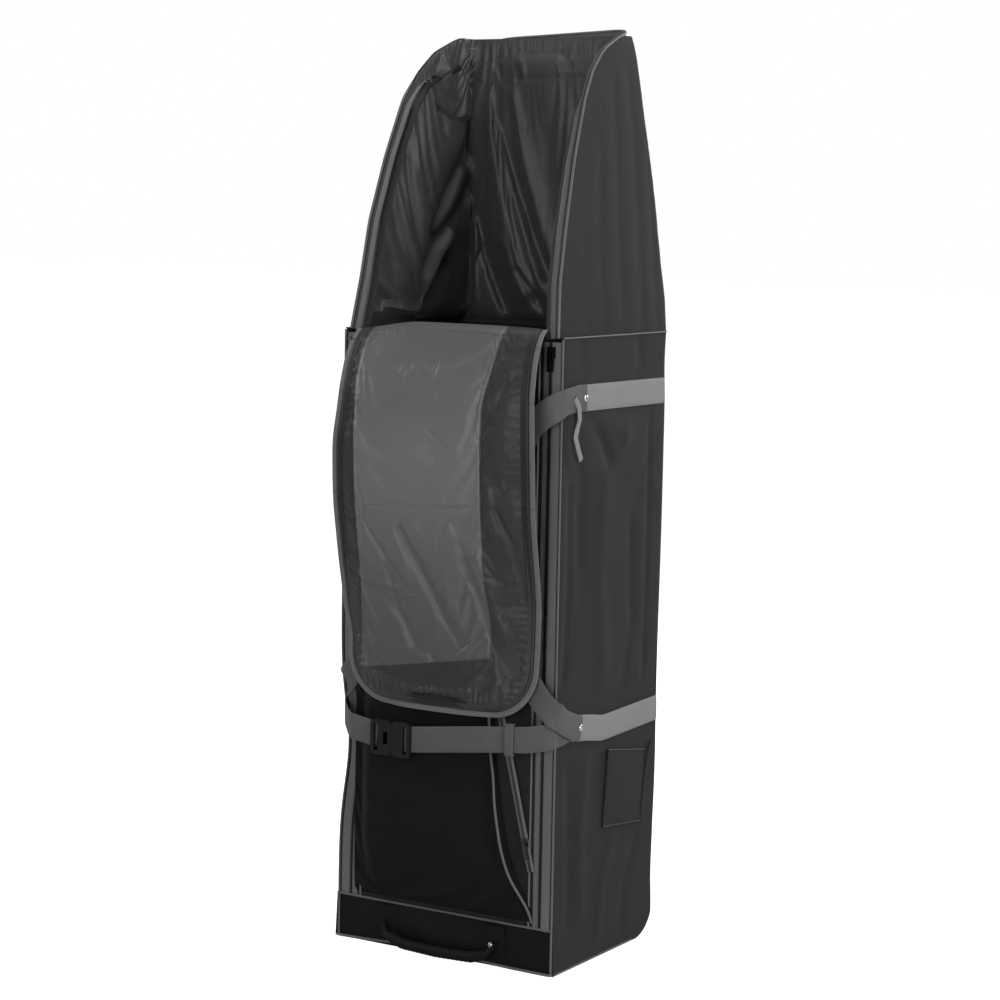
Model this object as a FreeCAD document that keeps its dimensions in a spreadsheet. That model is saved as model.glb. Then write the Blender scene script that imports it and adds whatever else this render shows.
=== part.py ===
"""Golf travel case on two wheels, built as separate pieces.

The case stands upright on its base tray. X runs across the case, Y from the front to
the back and Z up, in millimetres. The origin is on the floor under the middle of the
case. The hood above the waist is open, and its padded flap hangs down in front.
"""
import FreeCAD, Part
import math
import os
import Sketcher

V = FreeCAD.Vector
X_AXIS = V(1, 0, 0)
Y_AXIS = V(0, 1, 0)
Z_AXIS = V(0, 0, 1)

# ---------------------------------------------------------------- driving dimensions
DIMENSIONS = [
    ("half_width", 181),            # side panels' outer faces
    ("half_depth", 148),            # front and back panels' outer faces
    ("waist_level", 912),           # top of the box, where the hood starts
    ("wall", 4),                    # padded fabric wall
    ("fabric_gap", 0.4),            # room left between neighbouring soft pieces
    ("tray_thick", 5),
    ("board_thick", 6),
    ("kick_height", 70),            # front kick panel and rear kick plate
    ("well_front", 92),             # the floor stops here, in front of the wheels
    ("corner_radius", 58),          # rounded rear bottom corner of the side panels
    ("lid_half", 145.5),
    ("lid_thick", 3),
    ("band_edge", 176.5),           # outer edge of the closed zip band
    ("coil_centre", 166),
    ("coil_width", 3),
    ("coil_height", 2),
    ("lining_thick", 5),
    ("crown_level", 1338),
    ("piping_radius", 1.6),
    ("webbing", 38),                # width of all the wide straps
    ("webbing_thick", 2.5),
    ("upper_strap_level", 827),
    ("lower_strap_level", 350),
    ("rivet_radius", 5),
    ("rivet_height", 1.6),
    ("wheel_radius", 31),
    ("wheel_width", 24),
    ("wheel_centre_x", 150),
    ("wheel_centre_y", 126),
    ("wheel_centre_z", 34),
    ("rim_radius", 20),
    ("bearing_radius", 11),
    ("bearing_width", 7),
    ("axle_radius", 4),
    ("axle_clearance", 0.05),
    ("housing_half", 20),
    ("cheek_gap", 28),
    ("well_radius", 35),
    ("fold_y", -154),               # axis on which the flap folds down
    ("fold_z", 914),
    ("flap_half", 160),
    ("flap_top_half", 153),
    ("flap_thick", 8),
    ("flap_gap", 3.6),
    ("flap_corner", 70),
    ("flap_run_1", 43),             # lengths of the flap's five stiff panels
    ("flap_run_2", 118),
    ("flap_run_3", 171),
    ("flap_run_4", 113),
    ("flap_run_5", 99),
    ("flap_tilt_1", -37.4),         # each panel's lean from hanging straight, degrees
    ("flap_tilt_2", -8.3),
    ("flap_tilt_3", 6.7),
    ("flap_tilt_4", 1.6),
    ("flap_tilt_5", 1.2),
    ("slider_width", 12),
    ("slider_length", 16),
    ("pull_length", 30),
    ("pull_thick", 2),
    ("buckle_left", -105),
    ("buckle_right", -36),
    ("buckle_height", 52),
    ("buckle_level", 323),
    ("buckle_back", -176.5),
    ("buckle_thick", 12),
]

# Hood outline at a few levels: level, front edge, back face and half width.
HOOD_STATIONS = [
    (916, -146, 148, 177),
    (1071, -118.5, 139, 167),
    (1175, -88.5, 123, 160),
    (1254, -53.5, 109, 153),
    (1284, -27.5, 106, 150),
    (1311.5, 12, 103, 144),
    (1328.5, 56, 101, 138),
    (1338, 86, 100, 131),
]

doc = FreeCAD.newDocument("golf_travel_case")
sheet = doc.addObject("Spreadsheet::Sheet", "Dimensions")
for row, (alias, value) in enumerate(DIMENSIONS, start=1):
    sheet.set("A%d" % row, alias.replace("_", " "))
    sheet.set("B%d" % row, str(value))
    sheet.setAlias("B%d" % row, alias)
doc.recompute()

pieces = []


def size(alias):
    """Value of one driving dimension."""
    return float(getattr(sheet, alias))


def expression(text):
    """Turn driving-dimension names in an arithmetic expression into sheet references."""
    words = []
    for word in text.split():
        if word[0].isalpha():
            words.append("Dimensions." + word)
        else:
            words.append(word)
    return " ".join(words)


def keep(item, label):
    """Name a finished piece and remember it for export."""
    item.Label = label
    pieces.append(item)
    return item


# ---------------------------------------------------------------- building blocks
def box(name, length, width, height, corner):
    """Box with its sizes and its low corner bound to the sheet."""
    item = doc.addObject("Part::Box", name)
    item.setExpression("Length", expression(length))
    item.setExpression("Width", expression(width))
    item.setExpression("Height", expression(height))
    for axis, text in zip("xyz", corner):
        item.setExpression("Placement.Base." + axis, expression(text))
    return item


def cylinder_x(name, radius, length, start):
    """Cylinder along X with its size and start point bound to the sheet."""
    item = doc.addObject("Part::Cylinder", name)
    item.Placement = FreeCAD.Placement(V(), FreeCAD.Rotation(Y_AXIS, 90))
    item.setExpression("Radius", expression(radius))
    item.setExpression("Height", expression(length))
    for axis, text in zip("xyz", start):
        item.setExpression("Placement.Base." + axis, expression(text))
    return item


def cut(name, base, tool):
    """Part::Cut of two document objects."""
    item = doc.addObject("Part::Cut", name)
    item.Base = base
    item.Tool = tool
    return item


def group(name, items):
    """Separate solids that share one node."""
    item = doc.addObject("Part::Compound", name)
    item.Links = items
    return item


def mirrored(name, source):
    """Mirror image of a piece on the other side of the case."""
    item = doc.addObject("Part::Mirroring", name)
    item.Source = source
    item.Normal = X_AXIS
    item.Base = V()
    return item


def feature(name, shape):
    """Plain feature for a shape that no parametric object makes."""
    item = doc.addObject("Part::Feature", name)
    item.Shape = shape
    item.Placement = FreeCAD.Placement()
    return item


def origin_plane(body, role):
    """One of the body's own origin planes."""
    for item in body.Origin.OriginFeatures:
        if item.Role == role:
            return item
    raise RuntimeError("no origin plane " + role)


def sketch_on(body, role, name, corners):
    """Closed polygon sketch whose corners are bound to the sheet."""
    sketch = body.newObject("Sketcher::SketchObject", name)
    sketch.AttachmentSupport = [(origin_plane(body, role), "")]
    sketch.MapMode = "FlatFace"
    count = len(corners)
    places = []
    for across, up in corners:
        places.append((evaluate(across), evaluate(up)))
    for index in range(count):
        start = V(*places[index], 0)
        end = V(*places[(index + 1) % count], 0)
        sketch.addGeometry(Part.LineSegment(start, end), False)
    for index in range(count):
        sketch.addConstraint(Sketcher.Constraint("Coincident", index, 2, (index + 1) % count, 1))
    for index, (across, up) in enumerate(corners):
        for kind, text, value in (("DistanceX", across, places[index][0]),
                                  ("DistanceY", up, places[index][1])):
            number = sketch.addConstraint(Sketcher.Constraint(kind, -1, 1, index, 1, value))
            sketch.setExpression("Constraints[%d]" % number, expression(text))
    return sketch


def evaluate(text):
    """Value of an arithmetic expression written with driving-dimension names."""
    return float(sheet.evalExpression(expression(text).replace("Dimensions.", "")))


def padded_body(name, role, corners, thickness, offset=(0, 0, 0)):
    """Body with one polygon sketch padded to a thickness, set at an offset."""
    body = doc.addObject("PartDesign::Body", name)
    sketch = sketch_on(body, role, name + "_outline", corners)
    pad = body.newObject("PartDesign::Pad", name + "_pad")
    pad.Profile = sketch
    pad.setExpression("Length", expression(thickness))
    body.Placement = FreeCAD.Placement(V(*offset), FreeCAD.Rotation())
    return body


def round_edges(body, edges, radius, name):
    """Fillet some edges of a body's last feature."""
    base = body.Tip
    fillet = body.newObject("PartDesign::Fillet", name)
    fillet.Base = (base, edges)
    fillet.Radius = radius
    return fillet


def edges_where(body, test):
    """Names of the edges whose middle point passes a test."""
    names = []
    for number, edge in enumerate(body.Tip.Shape.Edges, start=1):
        middle = edge.valueAt((edge.FirstParameter + edge.LastParameter) / 2)
        if test(middle, edge):
            names.append("Edge%d" % number)
    return names


def ring_body(name, profile, centre):
    """Body turned about X from a half profile of (along, radius) corners."""
    body = doc.addObject("PartDesign::Body", name)
    sketch = sketch_on(body, "XY_Plane", name + "_profile", profile)
    turn = body.newObject("PartDesign::Revolution", name + "_turn")
    turn.Profile = sketch
    turn.ReferenceAxis = (sketch, ["H_Axis"])
    turn.Angle = 360
    body.Placement = FreeCAD.Placement(V(*centre), FreeCAD.Rotation())
    return body


def quad_wire(corners):
    """Closed wire through four points."""
    return Part.makePolygon(corners + corners[:1])


def level_loft(name, sections):
    """Solid through level rectangles given as (level, x low, x high, y low, y high)."""
    wires = []
    for level, x_low, x_high, y_low, y_high in sections:
        wires.append(quad_wire([V(x_low, y_low, level), V(x_high, y_low, level),
                                V(x_high, y_high, level), V(x_low, y_high, level)]))
    return feature(name, Part.makeLoft(wires, True, True))


def band(name, stations, width, thickness):
    """Flat strap through stations of (centre, width direction), thickness to each side."""
    centres = [V(*centre) for centre, _ in stations]
    wires = []
    for index, (_, across) in enumerate(stations):
        before = centres[max(index - 1, 0)]
        after = centres[min(index + 1, len(centres) - 1)]
        along = (after - before).normalize()
        side = V(*across)
        side = (side - along * side.dot(along)).normalize()
        out = along.cross(side).normalize()
        half_side = side * (width / 2)
        half_out = out * (thickness / 2)
        middle = centres[index]
        wires.append(quad_wire([middle - half_side - half_out, middle + half_side - half_out,
                                middle + half_side + half_out, middle - half_side + half_out]))
    return feature(name, Part.makeLoft(wires, True, True))


def reflected(stations):
    """The same strap stations on the other side of the case."""
    result = []
    for (x, y, z), (ax, ay, az) in stations:
        result.append(((-x, y, z), (-ax, ay, az)))
    return result


# ---------------------------------------------------------------- base


def floor_body(name, inset, thickness, level):
    """Floor sheet that narrows at the back to pass between the wheel housings."""
    side = "band_edge - %g" % inset
    left = "%g - band_edge" % inset
    throat = "wheel_centre_x - housing_half - 1 - %g" % inset
    throat_left = "%g + housing_half + 1 - wheel_centre_x" % inset
    front = "wall + fabric_gap - half_depth + %g" % inset
    rear = "half_depth - wall - fabric_gap - %g" % inset
    return padded_body(name, "XY_Plane",
                       [(left, front), (side, front), (side, "well_front"), (throat, "well_front"),
                        (throat, rear), (throat_left, rear), (throat_left, "well_front"),
                        (left, "well_front")],
                       thickness, (0, 0, level))


keep(floor_body("tray", 0, "tray_thick", 0), "base_tray")
keep(floor_body("board", 4, "board_thick", size("tray_thick") + 0.2), "base_board")
keep(box("kick", "2 * band_edge", "wall", "kick_height",
         ("-1 * band_edge", "-1 * half_depth", "0.5")), "kick_panel")

SCREW_PLACES = [(-112, 20), (-112, 58), (112, 20), (112, 58)]


def rear_kick_plate():
    """Moulded plate between the wheel housings, with four screw holes."""
    plate = box("plate_blank", "258", "wall", "kick_height - 6", ("-129", "half_depth - wall", "6"))
    drills = []
    for x, z in SCREW_PLACES:
        drill = doc.addObject("Part::Cylinder", "plate_drill")
        drill.Radius = 2.1
        drill.Height = 12
        drill.Placement = FreeCAD.Placement(V(x, size("half_depth") + 4, z), FreeCAD.Rotation(X_AXIS, 90))
        drills.append(drill)
    return cut("kick_plate", plate, group("plate_drills", drills))


def plate_screws():
    """Four round-headed screws through the rear kick plate."""
    screws = []
    for x, z in SCREW_PLACES:
        head = Part.makeCylinder(4.5, 2.4, V(x, size("half_depth") + 0.05, z), Y_AXIS)
        shank = Part.makeCylinder(2, 10, V(x, size("half_depth") - 9.9, z), Y_AXIS)
        screws.append(feature("plate_screw", head.fuse(shank)))
    return group("screws", screws)


keep(rear_kick_plate(), "rear_kick_plate")
keep(plate_screws(), "plate_screws")


def skid_feet():
    """Two moulded skids across the floor, in front of the wheels."""
    feet = []
    for side in ("132", "-172"):
        feet.append(box("skid", "40", "4.5", "14", (side, "well_front + 0.5", "0")))
    return group("skids", feet)


keep(skid_feet(), "skid_feet")

# ---------------------------------------------------------------- walls of the box


def side_panel():
    """Side wall with a large round at its rear bottom corner."""
    body = padded_body("side", "YZ_Plane",
                       [("-1 * half_depth", "0.5"), ("half_depth", "0.5"),
                        ("half_depth", "waist_level"), ("-1 * half_depth", "waist_level")],
                       "wall", (size("half_width") - size("wall"), 0, 0))
    doc.recompute()
    corner = edges_where(body, lambda p, e: p.y > size("half_depth") - 1 and p.z < 2
                         and abs(e.Length - size("wall")) < 0.01)
    round_edges(body, corner, size("corner_radius"), "side_corner")
    body.Tip.setExpression("Radius", expression("corner_radius"))
    return body


right_side = side_panel()
keep(right_side, "side_panel_right")
keep(mirrored("side_left", right_side), "side_panel_left")
keep(box("back", "2 * band_edge", "wall", "waist_level - kick_height - 4",
         ("-1 * band_edge", "half_depth - wall", "kick_height + 4")), "back_panel")
keep(box("lid", "2 * lid_half", "lid_thick", "waist_level - kick_height - 8",
         ("-1 * lid_half", "1 - half_depth", "kick_height + 2")), "front_lid")
for side_name, edge in (("left", "-1 * band_edge"), ("right", "lid_half + fabric_gap")):
    keep(box("zip_band", "band_edge - lid_half - fabric_gap", "lid_thick",
             "waist_level - kick_height - 8", (edge, "1 - half_depth", "kick_height + 2")),
         "zip_band_" + side_name)
coils = []
for centre in ("coil_centre", "-1 * coil_centre"):
    coils.append(box("coil", "coil_width", "coil_height", "waist_level - kick_height - 12",
                     (centre + " - coil_width / 2", "0.8 - half_depth - coil_height", "kick_height + 4")))
keep(group("coils", coils), "zip_coils")

# ---------------------------------------------------------------- hood


def hood_side(name, sign, inner, outer, front_set, back_set, stations):
    """One leaning side wall of the hood, between two depths measured from its outer face."""
    sections = []
    for level, front, back, half in stations:
        near = sign * (half - inner)
        far = sign * (half - outer)
        sections.append((level, min(near, far), max(near, far), front + front_set, back - back_set))
    return level_loft(name, sections)


def hood_back(name, inner, outer, side_set, stations):
    """Back wall of the hood between two depths measured from its outer face."""
    sections = []
    for level, _, back, half in stations:
        sections.append((level, side_set - half, half - side_set, back - inner, back - outer))
    return level_loft(name, sections)


WALL = size("wall")
LINING = size("lining_thick")
GAP = size("fabric_gap")
for side_name, sign in (("left", -1), ("right", 1)):
    keep(hood_side("hood_wall", sign, WALL, 0, 0, 0, HOOD_STATIONS), "hood_side_" + side_name)
    keep(hood_side("hood_pad", sign, WALL + GAP + LINING, WALL + GAP, 2, WALL + LINING + 2 * GAP,
                   HOOD_STATIONS[:-2]), "hood_lining_" + side_name)
keep(hood_back("hood_rear", WALL, 0, WALL + GAP, HOOD_STATIONS), "hood_back")
keep(hood_back("hood_rear_pad", WALL + GAP + LINING, WALL + GAP, WALL + LINING + 2 * GAP,
               HOOD_STATIONS[:-2]), "hood_lining_back")
keep(box("crown", "262", "16", "5", ("-131", "84", "crown_level + 0.5")), "hood_crown")

# ---------------------------------------------------------------- piping


def corner_piping():
    """Four upright cords along the box's corners."""
    cords = []
    radius = size("piping_radius")
    for x in (-1, 1):
        for y in (-1, 1):
            foot = 62 if y > 0 else 4
            out = 0.8 * radius
            start = V(x * (size("half_width") + out), y * (size("half_depth") + out), foot)
            cords.append(feature("cord", Part.makeCylinder(radius, size("waist_level") - foot, start, Z_AXIS)))
    return group("corner_cords", cords)


def waist_piping():
    """Cords along the seam between the box and the hood, on both sides and the back."""
    radius = size("piping_radius")
    level = size("waist_level") + 1.9
    side_x = size("half_width") - 1.6
    back_y = size("half_depth") - 1.6
    cords = []
    for x in (-side_x, side_x):
        cords.append(feature("cord", Part.makeCylinder(radius, 2 * back_y - 4, V(x, 2 - back_y, level), Y_AXIS)))
    cords.append(feature("cord", Part.makeCylinder(radius, 2 * side_x - 8, V(4 - side_x, back_y, level), X_AXIS)))
    return group("waist_cords", cords)


keep(corner_piping(), "corner_piping")
keep(waist_piping(), "waist_piping")

# ---------------------------------------------------------------- shoe pocket on the lid
# Level, right edge and front face of the pocket. Its left edge is straight.
POCKET_STATIONS = [
    (82, 138, -158),
    (106, 142, -167),
    (131, 127, -170),
    (178, 108, -173),
    (250, 95, -174),
    (336, 85, -172),
    (362, 82, -168),
    (395, 80, -157.5),
    (460, 80, -155),
    (640, 80, -152),
]
POCKET_LEFT = -155
POCKET_BACK = -147.4
keep(level_loft("pocket", [(level, POCKET_LEFT, right, front, POCKET_BACK)
                           for level, right, front in POCKET_STATIONS]), "shoe_pocket")

# Centre line of the pocket's zip, at the right of the pocket.
POCKET_ZIP = [(147, 160), (142, 184), (131, 232), (121, 275), (110, 322), (97, 365), (90, 400)]
keep(band("pocket_band", [((x, -149, z), (1, 0, 0)) for x, z in POCKET_ZIP], 10, 2), "pocket_zip")

# ---------------------------------------------------------------- side straps
STRAP_OUT = size("half_width") + 0.3 + size("webbing_thick") / 2
STRAP_BACK = 146


def side_strap(name, levels, sign):
    """Webbing sewn across a side panel, through (y, level) points."""
    stations = []
    for y, level in levels:
        stations.append(((sign * STRAP_OUT, y, level), (0, 0, 1)))
    return band(name, stations, size("webbing"), size("webbing_thick"))


UPPER = size("upper_strap_level")
LOWER = size("lower_strap_level")
UPPER_LINE = [(-108, UPPER + 1), (STRAP_BACK, UPPER)]
LOWER_LINE = [(-96, LOWER + 5), (-14, LOWER - 8), (STRAP_BACK, LOWER - 3)]
for side_name, sign in (("left", -1), ("right", 1)):
    keep(side_strap("upper_webbing", UPPER_LINE, sign), "upper_strap_" + side_name)
    keep(side_strap("lower_webbing", LOWER_LINE, sign), "lower_strap_" + side_name)

# ---------------------------------------------------------------- front strap and buckle
UP = (0, 0, 1)
RIGHT_STRAP = [
    ((STRAP_OUT, -101, 355), UP),
    ((185.8, -140, 353), UP),
    ((185.3, -152, 352.5), UP),
    ((178, -160, 350), UP),
    ((150, -169, 345), UP),
    ((85, -181, 340), UP),
    ((-3, -182.6, 329), UP),
]
LEFT_STRAP = [
    ((-STRAP_OUT, -103, 355), UP),
    ((-185.8, -140, 347), UP),
    ((-185.3, -152, 344), UP),
    ((-178, -160, 341), UP),
    ((-160, -172, 336), UP),
    ((-145, -181, 332), UP),
    ((-108, -182.5, 325), UP),
]
keep(band("strap_right", RIGHT_STRAP, size("webbing"), size("webbing_thick")), "front_strap_right")
keep(band("strap_left", LEFT_STRAP, size("webbing"), size("webbing_thick")), "front_strap_left")


def buckle_plate(name, left, right, slots):
    """Flat buckle half between two X positions, with through slots cut from its front."""
    body = padded_body(name, "XZ_Plane",
                       [(left, "buckle_level - buckle_height / 2"), (right, "buckle_level - buckle_height / 2"),
                        (right, "buckle_level + buckle_height / 2"), (left, "buckle_level + buckle_height / 2")],
                       "buckle_thick", (0, size("buckle_back"), 0))
    doc.recompute()
    upright = edges_where(body, lambda p, e: abs(e.tangentAt(e.FirstParameter).y) > 0.9)
    round_edges(body, upright, 6, name + "_corners")
    for number, corners in enumerate(slots):
        doc.recompute()
        sketch = sketch_on(body, "XZ_Plane", "%s_slot_%d" % (name, number), corners)
        pocket = body.newObject("PartDesign::Pocket", "%s_pocket_%d" % (name, number))
        pocket.Profile = sketch
        pocket.Type = "ThroughAll"
        pocket.Reversed = True
    return body


def slot(left, right, half_height):
    """Corners of a buckle slot about the buckle's middle level."""
    low = "buckle_level - %g" % half_height
    high = "buckle_level + %g" % half_height
    return [(left, low), (right, low), (right, high), (left, high)]


keep(buckle_plate("socket", "buckle_left", "buckle_left + 36",
                  [slot("buckle_left + 6", "buckle_left + 13", 20),
                   slot("buckle_left + 22", "buckle_left + 30", 9)]), "buckle_socket")
keep(buckle_plate("plug", "buckle_left + 36.6", "buckle_right",
                  [slot("buckle_right - 12", "buckle_right - 6", 20)]), "buckle_plug")


def strap_keeper():
    """Elastic ring round the front strap, where the strap leans away from the corner."""
    outer = Part.makeBox(24, 9, 44, V(-12, -4.5, -22))
    inner = Part.makeBox(24, 4.2, 40, V(-12, -2.1, -20))
    start = V(*RIGHT_STRAP[4][0])
    end = V(*RIGHT_STRAP[5][0])
    along = (end - start).normalize()
    side = (Z_AXIS - along * along.z).normalize()
    ring = feature("ring", outer.cut(inner))
    turn = FreeCAD.Rotation(along, side.cross(along), side, "XZY")
    ring.Placement = FreeCAD.Placement(start + (end - start) * 0.38, turn)
    return ring


keep(strap_keeper(), "strap_keeper")


def rivets():
    """Domed rivets that hold the handle ends to the side straps."""
    caps = []
    radius = size("rivet_radius")
    height = size("rivet_height")
    for sign in (-1, 1):
        for y, z in ((-88, UPPER + 1), (-82, LOWER + 3)):
            base = V(sign * (size("half_width") + 0.3 + size("webbing_thick")), y, z)
            caps.append(feature("rivet", Part.makeCone(radius, radius * 0.6, height, base, X_AXIS * sign)))
    return group("rivet_caps", caps)


keep(rivets(), "rivets")

# ---------------------------------------------------------------- carry handles
HANDLE_RIGHT = [
    ((186.4, -99, 828), (0, 0, 1)),
    ((189, -140, 826), (0, 0, 1)),
    ((188.6, -153, 823), (0, 0, 1)),
    ((179, -165, 816), (-0.2, 0, 0.98)),
    ((150, -168, 795), (-0.69, 0, 0.72)),
    ((128, -168, 755), (-0.94, 0, 0.34)),
    ((120, -167, 700), (-1, 0, 0)),
    ((120, -161, 520), (-1, 0, 0)),
    ((124, -160, 478), (-0.96, 0, -0.27)),
    ((137, -160, 444), (-0.87, 0, -0.5)),
    ((153, -161.5, 421), (-0.77, 0, -0.64)),
    ((168, -165.5, 405), (-0.7, 0, -0.72)),
    ((181, -166, 393), (-0.6, 0, -0.8)),
    ((189.6, -154, 382), (0, 0.3, -0.95)),
    ((190, -138, 372), (0, 0.34, -0.94)),
    ((189, -118, 363), (0, 0.3, -0.95)),
    ((187, -96, 355), (0, 0.24, -0.97)),
]
keep(band("handle_right", HANDLE_RIGHT, size("webbing"), size("webbing_thick")), "carry_handle_right")
keep(band("handle_left", reflected(HANDLE_RIGHT), size("webbing"), size("webbing_thick")),
     "carry_handle_left")

# ---------------------------------------------------------------- base and tow handles
BASE_HANDLE = [
    ((-100, -156, 27), UP),
    ((-84, -158, 22), UP),
    ((-62, -160.5, 18), UP),
    ((55, -160.5, 18), UP),
    ((76, -158, 22), UP),
    ((92, -156, 27), UP),
]
keep(band("grip", BASE_HANDLE, 26, 4), "base_handle")
patches = []
for middle in (-97, 89):
    patches.append(feature("patch", Part.makeBox(38, 3, 40, V(middle - 19, -151.4, 22))))
keep(group("patches", patches), "handle_patches")

TOW_LEVEL = 1268
TOW_Y = 113.5
TOW_HANDLE = [
    ((-62, TOW_Y, TOW_LEVEL), (1, 0, 0)),
    ((-60, TOW_Y + 8, TOW_LEVEL - 26), (0.94, 0, 0.34)),
    ((-45, TOW_Y + 16, TOW_LEVEL - 48), (0.6, 0, 0.8)),
    ((-20, TOW_Y + 19, TOW_LEVEL - 56), (0, 0, 1)),
    ((20, TOW_Y + 19, TOW_LEVEL - 56), (0, 0, 1)),
    ((45, TOW_Y + 16, TOW_LEVEL - 48), (-0.6, 0, 0.8)),
    ((60, TOW_Y + 8, TOW_LEVEL - 26), (-0.94, 0, 0.34)),
    ((62, TOW_Y, TOW_LEVEL), (-1, 0, 0)),
]
keep(band("tow_grip", TOW_HANDLE, 26, 4), "tow_handle")
tow_patch = Part.makeBox(164, 2.4, 30, V(-82, -1.2, 0))
tow_base = feature("tow_patch", tow_patch)
tow_base.Placement = FreeCAD.Placement(V(0, 110.6, TOW_LEVEL - 12), FreeCAD.Rotation(X_AXIS, 5))
keep(tow_base, "tow_patch")

# ---------------------------------------------------------------- tag pocket
keep(box("tag", "3.4", "138", "114", ("half_width + 0.3", "0", "182")), "tag_pocket")

# ---------------------------------------------------------------- wheels


def wheel_housing():
    """Moulded housing with two cheeks, open to the rear and the floor."""
    block = box("housing_block", "2 * housing_half", "half_depth - well_front - 6", "kick_height",
                ("wheel_centre_x - housing_half", "well_front + 5.4", "4"))
    well = cylinder_x("well", "well_radius", "cheek_gap",
                      ("wheel_centre_x - cheek_gap / 2", "wheel_centre_y", "wheel_centre_z"))
    corner = box("well_corner", "cheek_gap", "30", "34",
                 ("wheel_centre_x - cheek_gap / 2", "wheel_centre_y", "0"))
    bore = cylinder_x("axle_bore", "axle_radius + axle_clearance", "2 * housing_half + 4",
                      ("wheel_centre_x - housing_half - 2", "wheel_centre_y", "wheel_centre_z"))
    blank = cut("housing_open", cut("housing_well", block, well), corner)
    nose = doc.addObject("Part::Wedge", "housing_nose")
    nose.Xmin, nose.Ymin, nose.Zmin, nose.X2min, nose.Z2min = 0, 0, 0, 0, 0
    nose.Xmax, nose.Ymax, nose.Zmax, nose.X2max, nose.Z2max = 60, 30, 30, 60, 0
    nose.Placement = FreeCAD.Placement(V(120, 150, 2), FreeCAD.Rotation(X_AXIS, 90))
    return cut("housing", cut("housing_bored", blank, bore), nose)


right_housing = wheel_housing()
keep(right_housing, "wheel_housing_right")
keep(mirrored("housing_left", right_housing), "wheel_housing_left")


def axle_bolts():
    """One bolt through each wheel, with a washer head and a nut."""
    bolts = []
    y = size("wheel_centre_y")
    z = size("wheel_centre_z")
    inner = size("wheel_centre_x") - size("housing_half")
    outer = size("wheel_centre_x") + size("housing_half")
    for sign in (-1, 1):
        along = X_AXIS * sign
        shank = Part.makeCylinder(size("axle_radius"), outer - inner + 8, V(sign * (inner - 5), y, z), along)
        head = Part.makeCylinder(7, 3, V(sign * (outer + 0.2), y, z), along)
        nut = Part.makeCylinder(6.5, 4, V(sign * (inner - 4.4), y, z), along)
        bolts.append(feature("bolt", shank.fuse([head, nut]).removeSplitter()))
    return group("bolts", bolts)


keep(axle_bolts(), "axle_bolts")

TYRE_PROFILE = [
    ("-1 * wheel_width / 2 + 1", "rim_radius"), ("wheel_width / 2 - 1", "rim_radius"),
    ("wheel_width / 2", "rim_radius + 3"), ("wheel_width / 2", "wheel_radius - 6"),
    ("wheel_width / 2 - 2", "wheel_radius - 2.4"), ("wheel_width / 2 - 6", "wheel_radius - 0.4"),
    ("0", "wheel_radius"),
    ("6 - wheel_width / 2", "wheel_radius - 0.4"), ("2 - wheel_width / 2", "wheel_radius - 2.4"),
    ("-1 * wheel_width / 2", "wheel_radius - 6"), ("-1 * wheel_width / 2", "rim_radius + 3"),
]
HUB_PROFILE = [
    ("-1 * wheel_width / 2 + 1.5", "bearing_radius"), ("-1 * wheel_width / 2 + 1.5", "bearing_radius + 3"),
    ("-4", "bearing_radius + 4"), ("-4", "rim_radius - 3"),
    ("-1 * wheel_width / 2 + 2", "rim_radius - 2"), ("-1 * wheel_width / 2 + 2", "rim_radius"),
    ("wheel_width / 2 - 2", "rim_radius"), ("wheel_width / 2 - 2", "rim_radius - 2"),
    ("4", "rim_radius - 3"), ("4", "bearing_radius + 4"),
    ("wheel_width / 2 - 1.5", "bearing_radius + 3"), ("wheel_width / 2 - 1.5", "bearing_radius"),
]


def bearing(name, start, centre):
    """Ball bearing as one ring with grooved faces."""
    bore = "axle_radius + axle_clearance"
    end = start + " + bearing_width"
    profile = [(start, bore), (start, bore + " + 2"), (start + " + 0.5", bore + " + 2.4"),
               (start + " + 0.5", "bearing_radius - 2"), (start, "bearing_radius - 1.6"),
               (start, "bearing_radius"), (end, "bearing_radius"), (end, bore)]
    return ring_body(name, profile, centre)


for side_name, sign in (("right", 1), ("left", -1)):
    hub_place = (sign * size("wheel_centre_x"), size("wheel_centre_y"), size("wheel_centre_z"))
    keep(ring_body("tyre_" + side_name, TYRE_PROFILE, hub_place), "wheel_" + side_name)
    keep(ring_body("rim_" + side_name, HUB_PROFILE, hub_place), "hub_" + side_name)
    pair = [bearing("bearing_in_" + side_name, "-1 * wheel_width / 2 + 1.5", hub_place),
            bearing("bearing_out_" + side_name, "wheel_width / 2 - 1.5 - bearing_width", hub_place)]
    keep(group("bearing_pair_" + side_name, pair), "bearings_" + side_name)

# ---------------------------------------------------------------- zip sliders and pulls
SLIDER_TOP = 902
SLIDER_X = 167


def zip_slider(name, sign):
    """Slider with a bridge that holds its pull."""
    width = size("slider_width")
    length = size("slider_length")
    front = -size("half_depth") - 1.6
    low = SLIDER_TOP - length
    foot = Part.makeBox(width, 3, length, V(-width / 2, front - 3, low))
    leg_low = Part.makeBox(3, 5, 3, V(-1.5, front - 7.4, low + 2))
    leg_high = Part.makeBox(3, 5, 3, V(-1.5, front - 7.4, SLIDER_TOP - 4))
    bar = Part.makeBox(3, 1.2, length - 3, V(-1.5, front - 7.4, low + 2))
    item = feature(name, foot.fuse([leg_low, leg_high, bar]).removeSplitter())
    item.Placement = FreeCAD.Placement(V(sign * SLIDER_X, 0, 0), FreeCAD.Rotation())
    return item


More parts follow.
